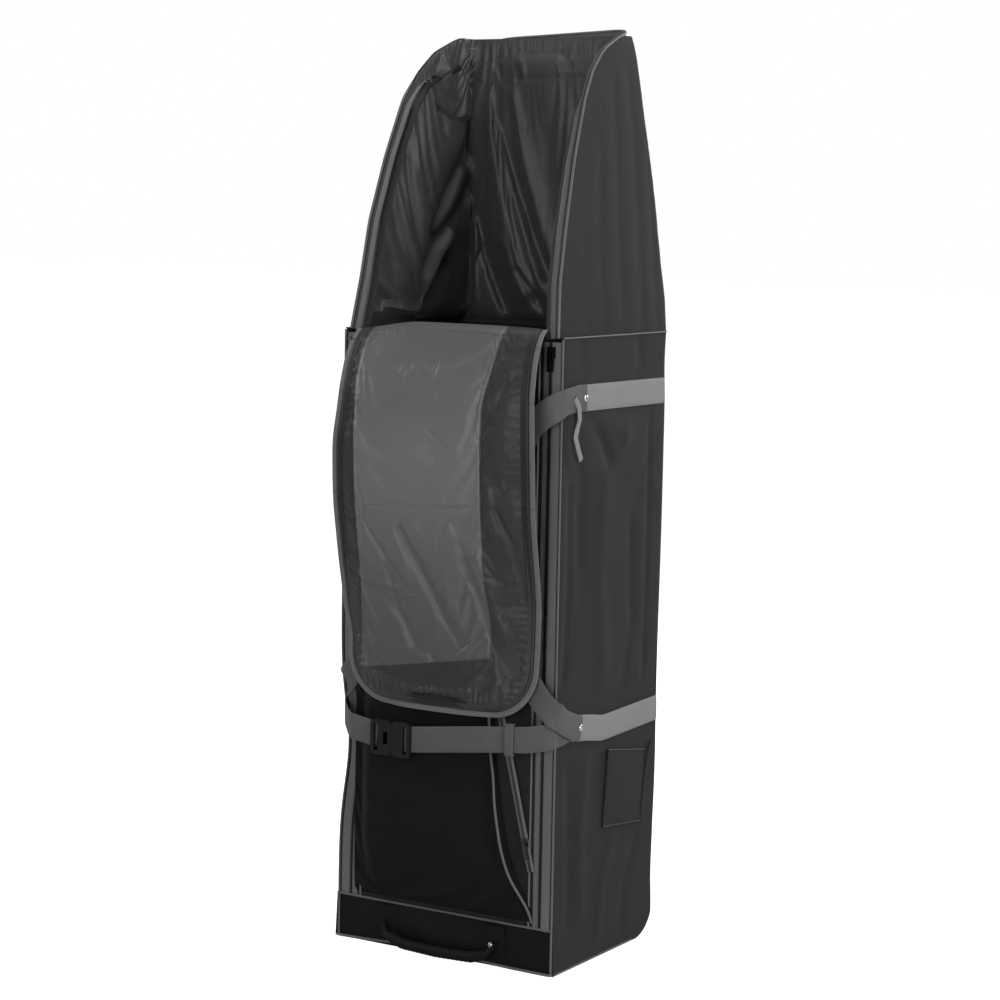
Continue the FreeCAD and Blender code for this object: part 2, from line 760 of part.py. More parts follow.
def zip_pull(name, sign):
    """Loop pull that hangs from the slider's bridge."""
    wide = 10
    thick = size("pull_thick")
    back = -size("half_depth") - 5.3
    top = SLIDER_TOP - 5
    low = top - size("pull_length")
    outer = Part.makeBox(wide, thick, top - low, V(-wide / 2, back - thick, low))
    hole = Part.makeBox(6, 6, 9, V(-3, back - 4, top - 11))
    grip = Part.makeBox(5, 6, 12, V(-2.5, back - 4, low + 2.5))
    item = feature(name, outer.cut(hole.fuse(grip)))
    item.Placement = FreeCAD.Placement(V(sign * SLIDER_X, 0, 0), FreeCAD.Rotation())
    return item


for side_name, sign in (("right", 1), ("left", -1)):
    keep(zip_slider("slider_" + side_name, sign), "slider_" + side_name)
    keep(zip_pull("pull_" + side_name, sign), "pull_" + side_name)


def pocket_slider():
    """Small slider with its pull, at the low end of the pocket's zip."""
    foot = Part.makeBox(9, 3, 12, V(-4.5, -153.4, 0))
    pull = Part.makeBox(5, 2, 24, V(-2.5, -155.4, -18))
    item = feature("small_slider", foot.fuse(pull).removeSplitter())
    item.Placement = FreeCAD.Placement(V(142.5, 0, 186), FreeCAD.Rotation(Y_AXIS, -12.6), V(0, 0, 0))
    return item


keep(pocket_slider(), "pocket_slider")

# ---------------------------------------------------------------- flap
FLAP_NAMES = ["flap_fold", "flap_upper", "flap_middle", "flap_lower", "flap_end"]


def flap_panels():
    """Five stiff padded panels hung from each other, from the fold down."""
    y = size("fold_y")
    z = size("fold_z")
    for number, label in enumerate(FLAP_NAMES, start=1):
        run = size("flap_run_%d" % number)
        tilt = size("flap_tilt_%d" % number)
        half = "flap_top_half" if number == 1 else "flap_half"
        body = padded_body(label + "_body", "XZ_Plane",
                           [("-1 * " + half, "flap_gap / 2 - flap_run_%d" % number),
                            (half, "flap_gap / 2 - flap_run_%d" % number),
                            (half, "-1 * flap_gap / 2"), ("-1 * " + half, "-1 * flap_gap / 2")],
                           "flap_thick")
        if label == "flap_end":
            doc.recompute()
            low = edges_where(body, lambda p, e: p.z < -size("flap_run_5") / 2
                              and abs(e.tangentAt(e.FirstParameter).y) > 0.9)
            round_edges(body, low, size("flap_corner"), "flap_corners")
            body.Tip.setExpression("Radius", expression("flap_corner"))
        turn = FreeCAD.Rotation(X_AXIS, tilt)
        body.Placement = FreeCAD.Placement(V(0, y, z) + turn.multVec(V(0, size("flap_thick") / 2, 0)), turn)
        keep(body, label)
        y += run * math.sin(math.radians(tilt))
        z -= run * math.cos(math.radians(tilt))
        print("flap joint below %s: y %.2f z %.2f" % (label, y, z))


flap_panels()

# ---------------------------------------------------------------- checks and export
doc.recompute()
for item in doc.Objects:
    if "Invalid" in item.State or "Error" in item.State:
        raise RuntimeError("object %s is %s" % (item.Label, item.State))
labels = [item.Label for item in pieces]
if len(set(labels)) != len(labels) or len(labels) > 60:
    raise RuntimeError("%d pieces, or a repeated name" % len(labels))
os.makedirs("parts", exist_ok=True)
for item in pieces:
    shape = item.Shape
    if shape.isNull() or not shape.isValid() or not shape.Solids:
        raise RuntimeError("piece %s has no valid solid" % item.Label)
    shape.exportStep(os.path.join("parts", item.Label + ".step"))
print("%d pieces written" % len(pieces))
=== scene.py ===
"""Looks of an upright golf travel case on wheels, with its hood open and its flap hanging down.

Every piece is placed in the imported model's own frame: X across the case, Y from the front to
the back, Z up, in metres, with the origin on the floor under the middle of the case.
"""

import logging
import math
from dataclasses import dataclass, field
from enum import Enum
from typing import Iterable, Optional, Sequence

import bmesh
import bpy
import numpy as np
from mathutils import Matrix, Vector


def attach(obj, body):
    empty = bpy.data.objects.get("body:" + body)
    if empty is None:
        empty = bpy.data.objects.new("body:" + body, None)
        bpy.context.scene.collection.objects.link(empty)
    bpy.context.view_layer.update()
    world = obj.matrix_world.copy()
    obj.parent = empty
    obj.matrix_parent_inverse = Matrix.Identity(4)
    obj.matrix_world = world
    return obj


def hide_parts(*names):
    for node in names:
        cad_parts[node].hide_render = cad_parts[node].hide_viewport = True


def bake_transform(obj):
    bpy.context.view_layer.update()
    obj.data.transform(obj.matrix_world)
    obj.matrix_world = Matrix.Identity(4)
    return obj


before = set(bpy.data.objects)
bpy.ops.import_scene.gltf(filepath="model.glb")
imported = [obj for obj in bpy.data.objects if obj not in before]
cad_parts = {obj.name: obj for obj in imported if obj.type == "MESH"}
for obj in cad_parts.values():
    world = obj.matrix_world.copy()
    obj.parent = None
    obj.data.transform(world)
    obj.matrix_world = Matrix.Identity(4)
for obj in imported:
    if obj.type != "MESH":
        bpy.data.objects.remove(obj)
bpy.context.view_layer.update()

logging.basicConfig(level=logging.INFO, format="%(message)s")
log = logging.getLogger("travel_case")

Array = np.ndarray
Socket = bpy.types.NodeSocket
Relief = tuple[Socket, Optional[Socket]]
MM = 0.001
CASE = "case"
TAFFETA_THREAD = 0.0006
SHORTEST_RUN = 3  # points that a strip needs
SIDES = (("right", 1), ("left", -1))


# ---------------------------------------------------------------- curves and numbers
def unit(vectors: Array) -> Array:
    """Vectors divided by their own length."""
    return vectors / np.maximum(np.linalg.norm(vectors, axis=-1, keepdims=True), 1e-12)


def sampled(spots: Array, run: Array, table: Array) -> Array:
    """Rows of a table at some distances along its run."""
    return np.stack([np.interp(spots, run, column) for column in table.T], axis=1)


def arc_length(path: Array) -> Array:
    """Distance of each point of a path from its start."""
    steps = np.linalg.norm(np.diff(path, axis=0), axis=1)
    return np.concatenate([[0.0], np.cumsum(steps)])


def resample(path: Array, count: int) -> Array:
    """Points at even arc length along a polyline.

    Args:
        path: the polyline's points, one per row.
        count: how many points to return.

    Returns:
        The new points, with the same ends.
    """
    run = arc_length(path)
    return sampled(np.linspace(0.0, run[-1], count), run, path)


def smooth_path(points: Sequence[Sequence[float]], count: int, passes: int = 30) -> Array:
    """Round path through a few points.

    The polyline is resampled evenly, then each inner point is moved to the mean of itself and
    its neighbours' mean, over and over, which rounds the corners and keeps the ends.

    Args:
        points: corners of the path, in millimetres.
        count: points in the result.
        passes: rounds of averaging.

    Returns:
        The path in metres, one point per row.
    """
    path = resample(np.asarray(points, float), count)
    for _ in range(passes):
        path[1:-1] = 0.5 * path[1:-1] + 0.25 * (path[:-2] + path[2:])
    return resample(path, count) * MM


def normals_of(points: Array) -> Array:
    """Unit normals of a grid of points: the cross product of its row and column slopes."""
    return unit(np.cross(np.gradient(points, axis=0), np.gradient(points, axis=1)))


def front_normals(points: Array) -> Array:
    """Unit normals of a grid, all turned towards the front."""
    out = normals_of(points)
    return out * -np.sign(out[..., 1:2].mean())


def ramp(values: Array, low: float, high: float) -> Array:
    """Smooth step from 0 at low to 1 at high: 3t squared minus 2t cubed."""
    t = np.clip((values - low) / (high - low), 0.0, 1.0)
    return t * t * (3 - 2 * t)


@dataclass(frozen=True)
class Creases:
    """Soft ridges and valleys in cloth.

    Each crease is a bell-shaped ridge across its own line, fading out along it, with a slight
    bend: depth times exp(-(off/width)^2) times exp(-(along/length)^2).
    """

    count: int
    depth: float
    width: tuple[float, float]
    length: tuple[float, float]
    angle: tuple[float, float]
    seed: int
    low: tuple[float, float] = (0.0, 0.0)
    high: tuple[float, float] = (1.0, 1.0)

    def height(self, across: Array, up: Array) -> Array:
        """Height of the creased cloth.

        Args:
            across: place across the panel at each point, in metres.
            up: place along the panel at each point, in metres.

        Returns:
            Height over the plain panel, in metres.
        """
        rng = np.random.default_rng(self.seed)
        total = np.zeros_like(across)
        span_a = across.max() - across.min()
        span_u = up.max() - up.min()
        for _ in range(self.count):
            place = rng.uniform(self.low, self.high)
            turn = math.radians(rng.uniform(*self.angle))
            wide = rng.uniform(*self.width)
            long = rng.uniform(*self.length)
            depth = self.depth * rng.uniform(0.4, 1.0) * rng.choice((-1.0, 1.0))
            bow = rng.uniform(-0.6, 0.6) / long
            da = across - across.min() - place[0] * span_a
            du = up - up.min() - place[1] * span_u
            along = da * math.cos(turn) + du * math.sin(turn)
            off = du * math.cos(turn) - da * math.sin(turn) + bow * along ** 2
            total += depth * np.exp(-(off / wide) ** 2 - (along / long) ** 2)
        return total


@dataclass(frozen=True)
class Fold:
    """One valley or ridge in cloth along a line.

    Its height is depth times exp(-(distance/width)^2), where distance is to the nearest point
    of the line, and it fades out past the line's ends.
    """

    line: tuple
    depth: float
    width: float

    def height(self, first: Array, second: Array) -> Array:
        """Height at each place, in metres, from places in metres and sizes in millimetres."""
        nearest = np.full(first.shape, np.inf)
        for (a0, b0), (a1, b1) in zip(self.line[:-1], self.line[1:]):
            da, db = (a1 - a0) * MM, (b1 - b0) * MM
            pa, pb = first - a0 * MM, second - b0 * MM
            t = np.clip((pa * da + pb * db) / (da * da + db * db), 0, 1)
            nearest = np.minimum(nearest, np.hypot(pa - t * da, pb - t * db))
        return self.depth * MM * np.exp(-(nearest / (self.width * MM)) ** 2)


def fold_table(*rows: Sequence[float]) -> tuple[Fold, ...]:
    """Folds from rows of numbers: depth, width, then the line's places one after the other."""
    return tuple(Fold(tuple(zip(row[2::2], row[3::2])), row[0], row[1]) for row in rows)


def folded(folds: Sequence[Fold], first: Array, second: Array) -> Array:
    """Sum of several folds' heights."""
    return sum(fold.height(first, second) for fold in folds)


@dataclass(frozen=True)
class Settling:
    """How a sewn sheet of cloth is let settle before it is used.

    slack is the spare cloth as a share of its size, pressure the trapped air and weight the
    share of gravity; no point moves further than cap metres.
    """

    slack: float = 0.03
    pressure: float = 0.0
    weight: float = 0.0
    cap: float = 0.008
    frames: int = 16
    bending: float = 0.4

    def settle(self, label: str, grid: Array, pinned: Array) -> Array:
        """Runs the cloth on a grid of points.

        Args:
            label: name for the working mesh.
            grid: rows x columns x 3 points.
            pinned: how firmly each point is held, from 0 to 1.
        """
        rows, cols = grid.shape[:2]
        index = np.arange(rows * cols).reshape(rows, cols)
        quads = np.stack(quads_of(index), -1).reshape(-1, 4)
        mesh = bpy.data.meshes.new(label + "_settling")
        mesh.from_pydata(grid.reshape(-1, 3).tolist(), [], quads.tolist())
        item = bpy.data.objects.new(label + "_settling", mesh)
        bpy.context.scene.collection.objects.link(item)
        pins = item.vertex_groups.new(name="pins")
        levels = np.round(pinned.ravel() * 10).astype(int)
        for level in range(1, 11):
            members = np.where(levels == level)[0].tolist()
            if members:
                pins.add(members, level / 10, "REPLACE")
        cloth = item.modifiers.new("cloth", "CLOTH")
        given = cloth.settings
        given.quality = 5
        given.mass = 0.15
        given.vertex_group_mass = "pins"
        given.tension_stiffness = 12
        given.compression_stiffness = 12
        given.shear_stiffness = 4
        given.bending_stiffness = self.bending
        given.shrink_min = -self.slack
        given.effector_weights.gravity = self.weight
        if self.pressure:
            given.use_pressure = True
            given.uniform_pressure_force = self.pressure
        cloth.collision_settings.use_collision = False
        cloth.point_cache.frame_start = 1
        cloth.point_cache.frame_end = self.frames
        for number in range(1, self.frames + 1):
            bpy.context.scene.frame_set(number)
        shown = item.evaluated_get(bpy.context.evaluated_depsgraph_get())
        flat = np.zeros(rows * cols * 3)
        shown.data.vertices.foreach_get("co", flat)
        moved = np.nan_to_num(flat.reshape(grid.shape) - grid)
        far = np.linalg.norm(moved, axis=2, keepdims=True)
        settled = grid + moved * np.minimum(1, self.cap / np.maximum(far, 1e-9))
        bpy.data.objects.remove(item)
        bpy.data.meshes.remove(mesh)
        bpy.context.scene.frame_set(1)
        log.info("%s settled, moving up to %.1f mm", label, 1000 * float(far.max()))
        return settled


def held_border(grid: Array, rows: int = 2, cols: int = 2) -> Array:
    """Pins of one along a grid's border and none inside."""
    pins = np.zeros(grid.shape[:2])
    pins[:rows] = pins[-rows:] = 1
    pins[:, :cols] = 1
    pins[:, -cols:] = 1
    return pins


# ---------------------------------------------------------------- mesh patches
@dataclass
class Patch:
    """Points, faces and the UV of each face corner, in metres of cloth."""

    points: Array
    faces: list[Array] = field(default_factory=list)
    corners: list[Array] = field(default_factory=list)

    @staticmethod
    def grid(points: Array, uv: Optional[Array] = None, wrap: bool = False, flip: bool = False) -> "Patch":
        """Quads between the rows and columns of a grid of points.

        Args:
            points: rows x columns x 3.
            uv: rows x columns (one more column if wrapped) x 2; arc lengths if left out.
            wrap: whether the last column joins the first.
            flip: whether the faces point the other way.

        Returns:
            The patch.
        """
        rows, cols = points.shape[:2]
        if uv is None:
            uv = cloth_uv(points, wrap)
        index = np.arange(rows * cols).reshape(rows, cols)
        if wrap:
            index = np.concatenate([index, index[:, :1]], axis=1)
        quads = quads_of(index)
        spots = quads_of(uv)
        if flip:
            quads.reverse()
            spots.reverse()
        face = np.stack([q.ravel() for q in quads], axis=1)
        corner = np.stack([s.reshape(-1, 2) for s in spots], axis=1)
        return Patch(points.reshape(-1, 3), [face], [corner])

    def add(self, other: "Patch") -> "Patch":
        """This patch and another one as a single patch."""
        offset = len(self.points)
        self.points = np.concatenate([self.points, other.points])
        self.faces += [f + offset for f in other.faces]
        self.corners += other.corners
        return self

    def cap(self, ring: Array, flip: bool = False) -> "Patch":
        """Closes a ring of point numbers with a fan round its middle point."""
        middle = self.points[ring].mean(axis=0)
        centre = len(self.points)
        self.points = np.concatenate([self.points, middle[None]])
        ahead = np.roll(ring, -1)
        tri = np.stack([ring, ahead, np.full(len(ring), centre)], axis=1)
        if flip:
            tri = tri[:, ::-1]
        self.faces.append(tri)
        self.corners.append(np.zeros((len(tri), 3, 2)))
        return self


def joined(patches: Iterable[Patch]) -> Patch:
    """Several patches as a single one, in their order."""
    first, *others = patches
    for other in others:
        first.add(other)
    return first


def cloth_uv(points: Array, wrap: bool = False) -> Array:
    """UV in metres: the mean arc length along the rows, and each row's own arc length."""
    closed = np.concatenate([points, points[:, :1]], axis=1) if wrap else points
    over = np.linalg.norm(np.diff(closed, axis=1), axis=2)
    v = np.concatenate([np.zeros((len(points), 1)), np.cumsum(over, axis=1)], axis=1)
    v = v - v[:, -1:] / 2
    down = np.linalg.norm(np.diff(closed, axis=0), axis=2).mean(axis=1)
    u = np.concatenate([[0.0], np.cumsum(down)])[:, None] * np.ones_like(v)
    return np.stack([u, v], axis=2)


def quads_of(index: Array) -> list[Array]:
    """The four corners of every square in a table of point numbers or places."""
    return [index[:-1, :-1], index[:-1, 1:], index[1:, 1:], index[1:, :-1]]


def slab(outer: Array, inner: Array) -> Patch:
    """Closed wall between an outer and an inner grid of the same size."""
    patch = Patch.grid(outer).add(Patch.grid(inner, flip=True))
    rows, cols = outer.shape[:2]
    index = np.arange(rows * cols).reshape(rows, cols)
    rim = np.concatenate([index[0, :], index[1:, -1], index[-1, -2::-1], index[-2:0:-1, 0]])
    ahead = np.roll(rim, -1)
    shift = rows * cols
    strip = np.stack([rim, rim + shift, ahead + shift, ahead], axis=1)
    patch.faces.append(strip)
    run = arc_length(patch.points[np.append(rim, rim[0])])
    thick = np.full(len(rim), 0.004)
    zero = np.zeros(len(rim))
    corners = [np.stack([run[:-1], zero], 1), np.stack([run[:-1], thick], 1),
               np.stack([run[1:], thick], 1), np.stack([run[1:], zero], 1)]
    patch.corners.append(np.stack(corners, axis=1))
    return patch


def ribbon(path: Array, across: Array, width: float, thick: float, lanes: int = 9,
           uv_start: float = 0.0) -> Patch:
    """Flat strap with rounded edges.

    Its section is a flat oval: half the thickness times the square root of 1 - |a|^6, where a
    runs from -1 to 1 across the strap.

    Args:
        path: centre line, one point per row.
        across: width direction at each point.
        width: full width.
        thick: full thickness.
        lanes: points across each face.
        uv_start: U at the strap's start.

    Returns:
        A closed patch whose U runs along the strap and whose V runs across it.
    """
    along = unit(np.gradient(path, axis=0))
    side = unit(across - along * (across * along).sum(axis=1, keepdims=True))
    out = np.cross(along, side)
    a = np.linspace(-1, 1, lanes)
    rise = np.sqrt(1 - np.abs(a) ** 6) * thick / 2
    ring_a = np.concatenate([a, a[-2:0:-1]])
    ring_h = np.concatenate([rise, -rise[-2:0:-1]])
    points = (path[:, None] + side[:, None] * (ring_a * width / 2)[None, :, None]
              + out[:, None] * ring_h[None, :, None])
    v = np.concatenate([ring_a, ring_a[:1]]) * width / 2
    u = uv_start + arc_length(path)
    uv = np.stack([np.repeat(u[:, None], len(v), 1), np.repeat(v[None], len(u), 0)], axis=2)
    patch = Patch.grid(points, uv, wrap=True)
    count = len(ring_a)
    patch.cap(np.arange(count), flip=True)
    patch.cap(np.arange(count) + count * (len(path) - 1))
    return patch


def cord(path: Array, radius: float | Array, reference: Sequence[float], sides: int = 10) -> Patch:
    """Round cord along a path: a circle carried square to it, closed at both ends."""
    along = unit(np.gradient(path, axis=0))
    side = unit(np.cross(along, np.asarray(reference, float)))
    out = np.cross(along, side)
    turn = np.linspace(0, 2 * np.pi, sides, endpoint=False)
    radius = np.broadcast_to(radius, len(path))[:, None, None]
    points = (path[:, None] + radius * (side[:, None] * np.cos(turn)[None, :, None]
                                        + out[:, None] * np.sin(turn)[None, :, None]))
    patch = Patch.grid(points, wrap=True)
    patch.cap(np.arange(sides), flip=True)
    patch.cap(np.arange(sides) + sides * (len(path) - 1))
    return patch


def repeat_blocks(centres: Array, along: Array, across: Array, out: Array,
                  sizes: tuple[float, float, float]) -> Patch:
    """Many small blocks, each with its own axes: eight corners at plus and minus half its sizes."""
    signs = np.array([[x, y, z] for x in (-1, 1) for y in (-1, 1) for z in (-1, 1)], float) / 2
    points = (centres[:, None] + along[:, None] * (signs[:, 0] * sizes[0])[None, :, None]
              + across[:, None] * (signs[:, 1] * sizes[1])[None, :, None]
              + out[:, None] * (signs[:, 2] * sizes[2])[None, :, None])
    quads = np.array([[0, 1, 3, 2], [4, 6, 7, 5], [0, 4, 5, 1], [2, 3, 7, 6], [0, 2, 6, 4], [1, 5, 7, 3]])
    faces = (quads[None] + 8 * np.arange(len(centres))[:, None, None]).reshape(-1, 4)
    return Patch(points.reshape(-1, 3), [faces], [np.zeros((len(faces), 4, 2))])


def dome(centre: Sequence[float], axis: Sequence[float], radius: float, height: float) -> Patch:
    """Rivet head: height times the square root of 1 - (r / radius)^2, closed at its foot."""
    r = np.array([0.02, 1, 1, 0.9, 0.7, 0.45, 0.2, 0.02]) * radius
    h = np.array([-0.4, -0.4, 0, 0.436, 0.714, 0.893, 0.98, 1.0]) * height
    out = unit(np.array([axis], float))[0]
    side = unit(np.cross(out, (0.0, 0.0, 1.0))[None])[0]
    up = np.cross(side, out)
    turn = np.linspace(0, 2 * np.pi, 20, endpoint=False)
    ring = np.cos(turn)[:, None] * side + np.sin(turn)[:, None] * up
    points = np.asarray(centre, float) + r[:, None, None] * ring[None] + h[:, None, None] * out
    return Patch.grid(points * MM, wrap=True)


def stitches(path: Array, out: Array, pitch: float = 3.2 * MM, length: float = 2.4 * MM,
             radius: float = 0.35 * MM) -> Patch:
    """Row of thread stitches lying on cloth, each a long lozenge of eight small faces."""
    run = arc_length(path)
    count = max(2, int(run[-1] / pitch))
    spots = np.linspace(0, run[-1], count + 1)[:-1] + pitch / 2
    centre = sampled(spots, run, path)
    along = unit(sampled(spots, run, np.gradient(path, axis=0)))
    normal = unit(sampled(spots, run, out))
    side = np.cross(along, normal)
    tips = [along * length / 2, -along * length / 2, side * radius, -side * radius,
            normal * radius, -normal * radius]
    points = np.stack([centre + tip for tip in tips], axis=1).reshape(-1, 3)
    tri = np.array([[0, 2, 4], [0, 4, 3], [0, 3, 5], [0, 5, 2], [1, 4, 2], [1, 3, 4], [1, 5, 3], [1, 2, 5]])
    faces = (tri[None] + 6 * np.arange(len(centre))[:, None, None]).reshape(-1, 3)
    return Patch(points, [faces], [np.zeros((len(faces), 3, 2))])


def zip_teeth(path: Array, across: Array, pitch: float = 2.0 * MM, width: float = 4.6 * MM,
              height: float = 1.8 * MM) -> Patch:
    """Coil of a zip: small bars across the path, close together."""
    run = arc_length(path)
    spots = np.arange(pitch / 2, run[-1], pitch)
    centre = sampled(spots, run, path)
    along = unit(sampled(spots, run, np.gradient(path, axis=0)))
    side = unit(sampled(spots, run, across))
    side = unit(side - along * (side * along).sum(axis=1, keepdims=True))
    return repeat_blocks(centre, along, side, np.cross(along, side), (pitch * 0.62, width, height))


# ---------------------------------------------------------------- materials
class Bench:
    """Adds and joins the nodes of one tree."""

    def __init__(self, tree: bpy.types.NodeTree) -> None:
        """Empties the tree and keeps it."""
        self.tree = tree
        tree.nodes.clear()

    def add(self, kind: str, inputs: Optional[dict] = None, **settings: object) -> bpy.types.Node:
        """New node with some settings and input values; an input that is a socket is linked."""
        node = self.tree.nodes.new(kind)
        for name, value in settings.items():
            setattr(node, name, value)
        for key, value in (inputs or {}).items():
            if isinstance(value, Socket):
                self.tree.links.new(value, node.inputs[key])
            else:
                node.inputs[key].default_value = value
        return node

    def shared(self, which: "Effect", place: Socket, **numbers: float) -> bpy.types.Node:
        """Node of a shared group, fed with a place and with some numbers."""
        node = self.add("ShaderNodeGroup", node_tree=effect(which))
        for name, value in numbers.items():
            node.inputs[name].default_value = value
        self.tree.links.new(place, node.inputs["Vector"])
        return node

    def math(self, operation: str, first: object, second: object = 0.0) -> Socket:
        """Result of a Math node on two sockets or numbers."""
        return self.add("ShaderNodeMath", {0: first, 1: second}, operation=operation).outputs[0]


def new_group(name: str, inputs: Sequence[tuple[str, str, float]], outputs: Sequence[str]) -> tuple:
    """Empty node group with its sockets.

    Args:
        name: name of the group.
        inputs: name, socket type and default of each input.
        outputs: names of the float outputs.

    Returns:
        The group, its bench, its input node and its output node.
    """
    group = bpy.data.node_groups.new(name, "ShaderNodeTree")
    for label, kind, default in inputs:
        socket = group.interface.new_socket(label, in_out="INPUT", socket_type=kind)
        if kind == "NodeSocketFloat":
            socket.default_value = default
    for label in outputs:
        group.interface.new_socket(label, in_out="OUTPUT", socket_type="NodeSocketFloat")
    bench = Bench(group)
    return group, bench, bench.add("NodeGroupInput"), bench.add("NodeGroupOutput")


class Effect(Enum):
    """Shared node groups, built once."""

    WEAVE = "cloth_weave"
    RIB = "webbing_rib"
    WEAR = "soft_wear"
    SATIN = "satin_crumple"


def build_weave() -> bpy.types.NodeTree:
    """Plain weave: sine across times sine along, at one thread per half wave."""
    group, bench, given, out = new_group(Effect.WEAVE.value, [
        ("Vector", "NodeSocketVector", 0.0), ("Thread", "NodeSocketFloat", 0.001)], ["Height", "Slub"])
    split = bench.add("ShaderNodeSeparateXYZ", {0: given.outputs["Vector"]})
    turns = bench.math("DIVIDE", math.pi, given.outputs["Thread"])
    over = bench.math("SINE", bench.math("MULTIPLY", split.outputs["X"], turns))
    under = bench.math("SINE", bench.math("MULTIPLY", split.outputs["Y"], turns))
    cross = bench.math("MULTIPLY", over, under)
    height = bench.math("MULTIPLY_ADD", cross, 0.5)
    height.node.inputs[2].default_value = 0.5
    slub = bench.add("ShaderNodeTexNoise", {"Vector": given.outputs["Vector"],
                                            "Scale": 240.0, "Detail": 3.0})
    bench.tree.links.new(height, out.inputs["Height"])
    bench.tree.links.new(slub.outputs[0], out.inputs["Slub"])
    return group


def build_rib() -> bpy.types.NodeTree:
    """Webbing: rounded ribs along the strap, broken by picks that shift from rib to rib, and a mask of the
    gaps between the ribs for painted shade.
    """
    group, bench, given, out = new_group(Effect.RIB.value, [
        ("Vector", "NodeSocketVector", 0.0), ("Rib", "NodeSocketFloat", 0.002),
        ("Pick", "NodeSocketFloat", 0.0015)], ["Height", "GapShade"])
    split = bench.add("ShaderNodeSeparateXYZ", {0: given.outputs["Vector"]})
    lane = bench.math("DIVIDE", split.outputs["Y"], given.outputs["Rib"])
    ridge = bench.math("ABSOLUTE", bench.math("SINE", bench.math("MULTIPLY", lane, math.pi)))
    shift = bench.math("MULTIPLY", bench.math("FLOOR", lane), math.pi / 2)
    step = bench.math("MULTIPLY", bench.math("DIVIDE", split.outputs["X"], given.outputs["Pick"]), math.pi)
    pick = bench.math("ABSOLUTE", bench.math("SINE", bench.math("ADD", step, shift)))
    height = bench.math("MULTIPLY", ridge, bench.math("MULTIPLY_ADD", pick, 0.55))
    height.node.inputs[1].links[0].from_node.inputs[2].default_value = 0.45
    gap_shade = bench.math("POWER", bench.math("SUBTRACT", 1.0, ridge), 3.0)
    bench.tree.links.new(height, out.inputs["Height"])
    bench.tree.links.new(gap_shade, out.inputs["GapShade"])
    return group


def build_wear() -> bpy.types.NodeTree:
    """Slow patches of lighter, rubbed cloth and fine lint, from two noises on Object coordinates."""
    group, bench, given, out = new_group(Effect.WEAR.value, [
        ("Vector", "NodeSocketVector", 0.0), ("Scale", "NodeSocketFloat", 6.0)], ["Patch", "Lint"])
    slow = bench.add("ShaderNodeTexNoise", {"Vector": given.outputs["Vector"],
                                            "Scale": given.outputs["Scale"], "Detail": 4.0})
    fine = bench.add("ShaderNodeTexNoise", {"Vector": given.outputs["Vector"],
                                            "Scale": 420.0, "Detail": 2.0})
    lint = bench.add("ShaderNodeMapRange", {0: fine.outputs[0], 1: 0.66, 2: 0.8})
    bench.tree.links.new(slow.outputs[0], out.inputs["Patch"])
    bench.tree.links.new(lint.outputs[0], out.inputs["Lint"])
    return group


def build_satin() -> bpy.types.NodeTree:
    """Crumpled satin: a long soft noise bent by another one, so that its ridges wander."""
    group, bench, given, out = new_group(Effect.SATIN.value, [
        ("Vector", "NodeSocketVector", 0.0), ("Scale", "NodeSocketFloat", 9.0)], ["Height"])
    bend = bench.add("ShaderNodeTexNoise", {"Vector": given.outputs["Vector"], "Scale": 5.0, "Detail": 2.0})
    push = bench.add("ShaderNodeVectorMath", {0: bend.outputs["Color"], "Scale": 0.12}, operation="SCALE")
    place = bench.add("ShaderNodeVectorMath", {0: given.outputs["Vector"], 1: push.outputs[0]},
                      operation="ADD")
    folds = bench.add("ShaderNodeTexNoise", {"Vector": place.outputs[0], "Scale": given.outputs["Scale"],
                                             "Detail": 3.0, "Roughness": 0.45})
    bench.tree.links.new(folds.outputs[0], out.inputs["Height"])
    return group


BUILDERS = {Effect.WEAVE: build_weave, Effect.RIB: build_rib, Effect.WEAR: build_wear,
            Effect.SATIN: build_satin}
_groups: dict[Effect, bpy.types.NodeTree] = {}


def effect(which: Effect) -> bpy.types.NodeTree:
    """The shared node group of one effect, built the first time that it is asked for."""
    if which not in _groups:
        _groups[which] = BUILDERS[which]()
    return _groups[which]


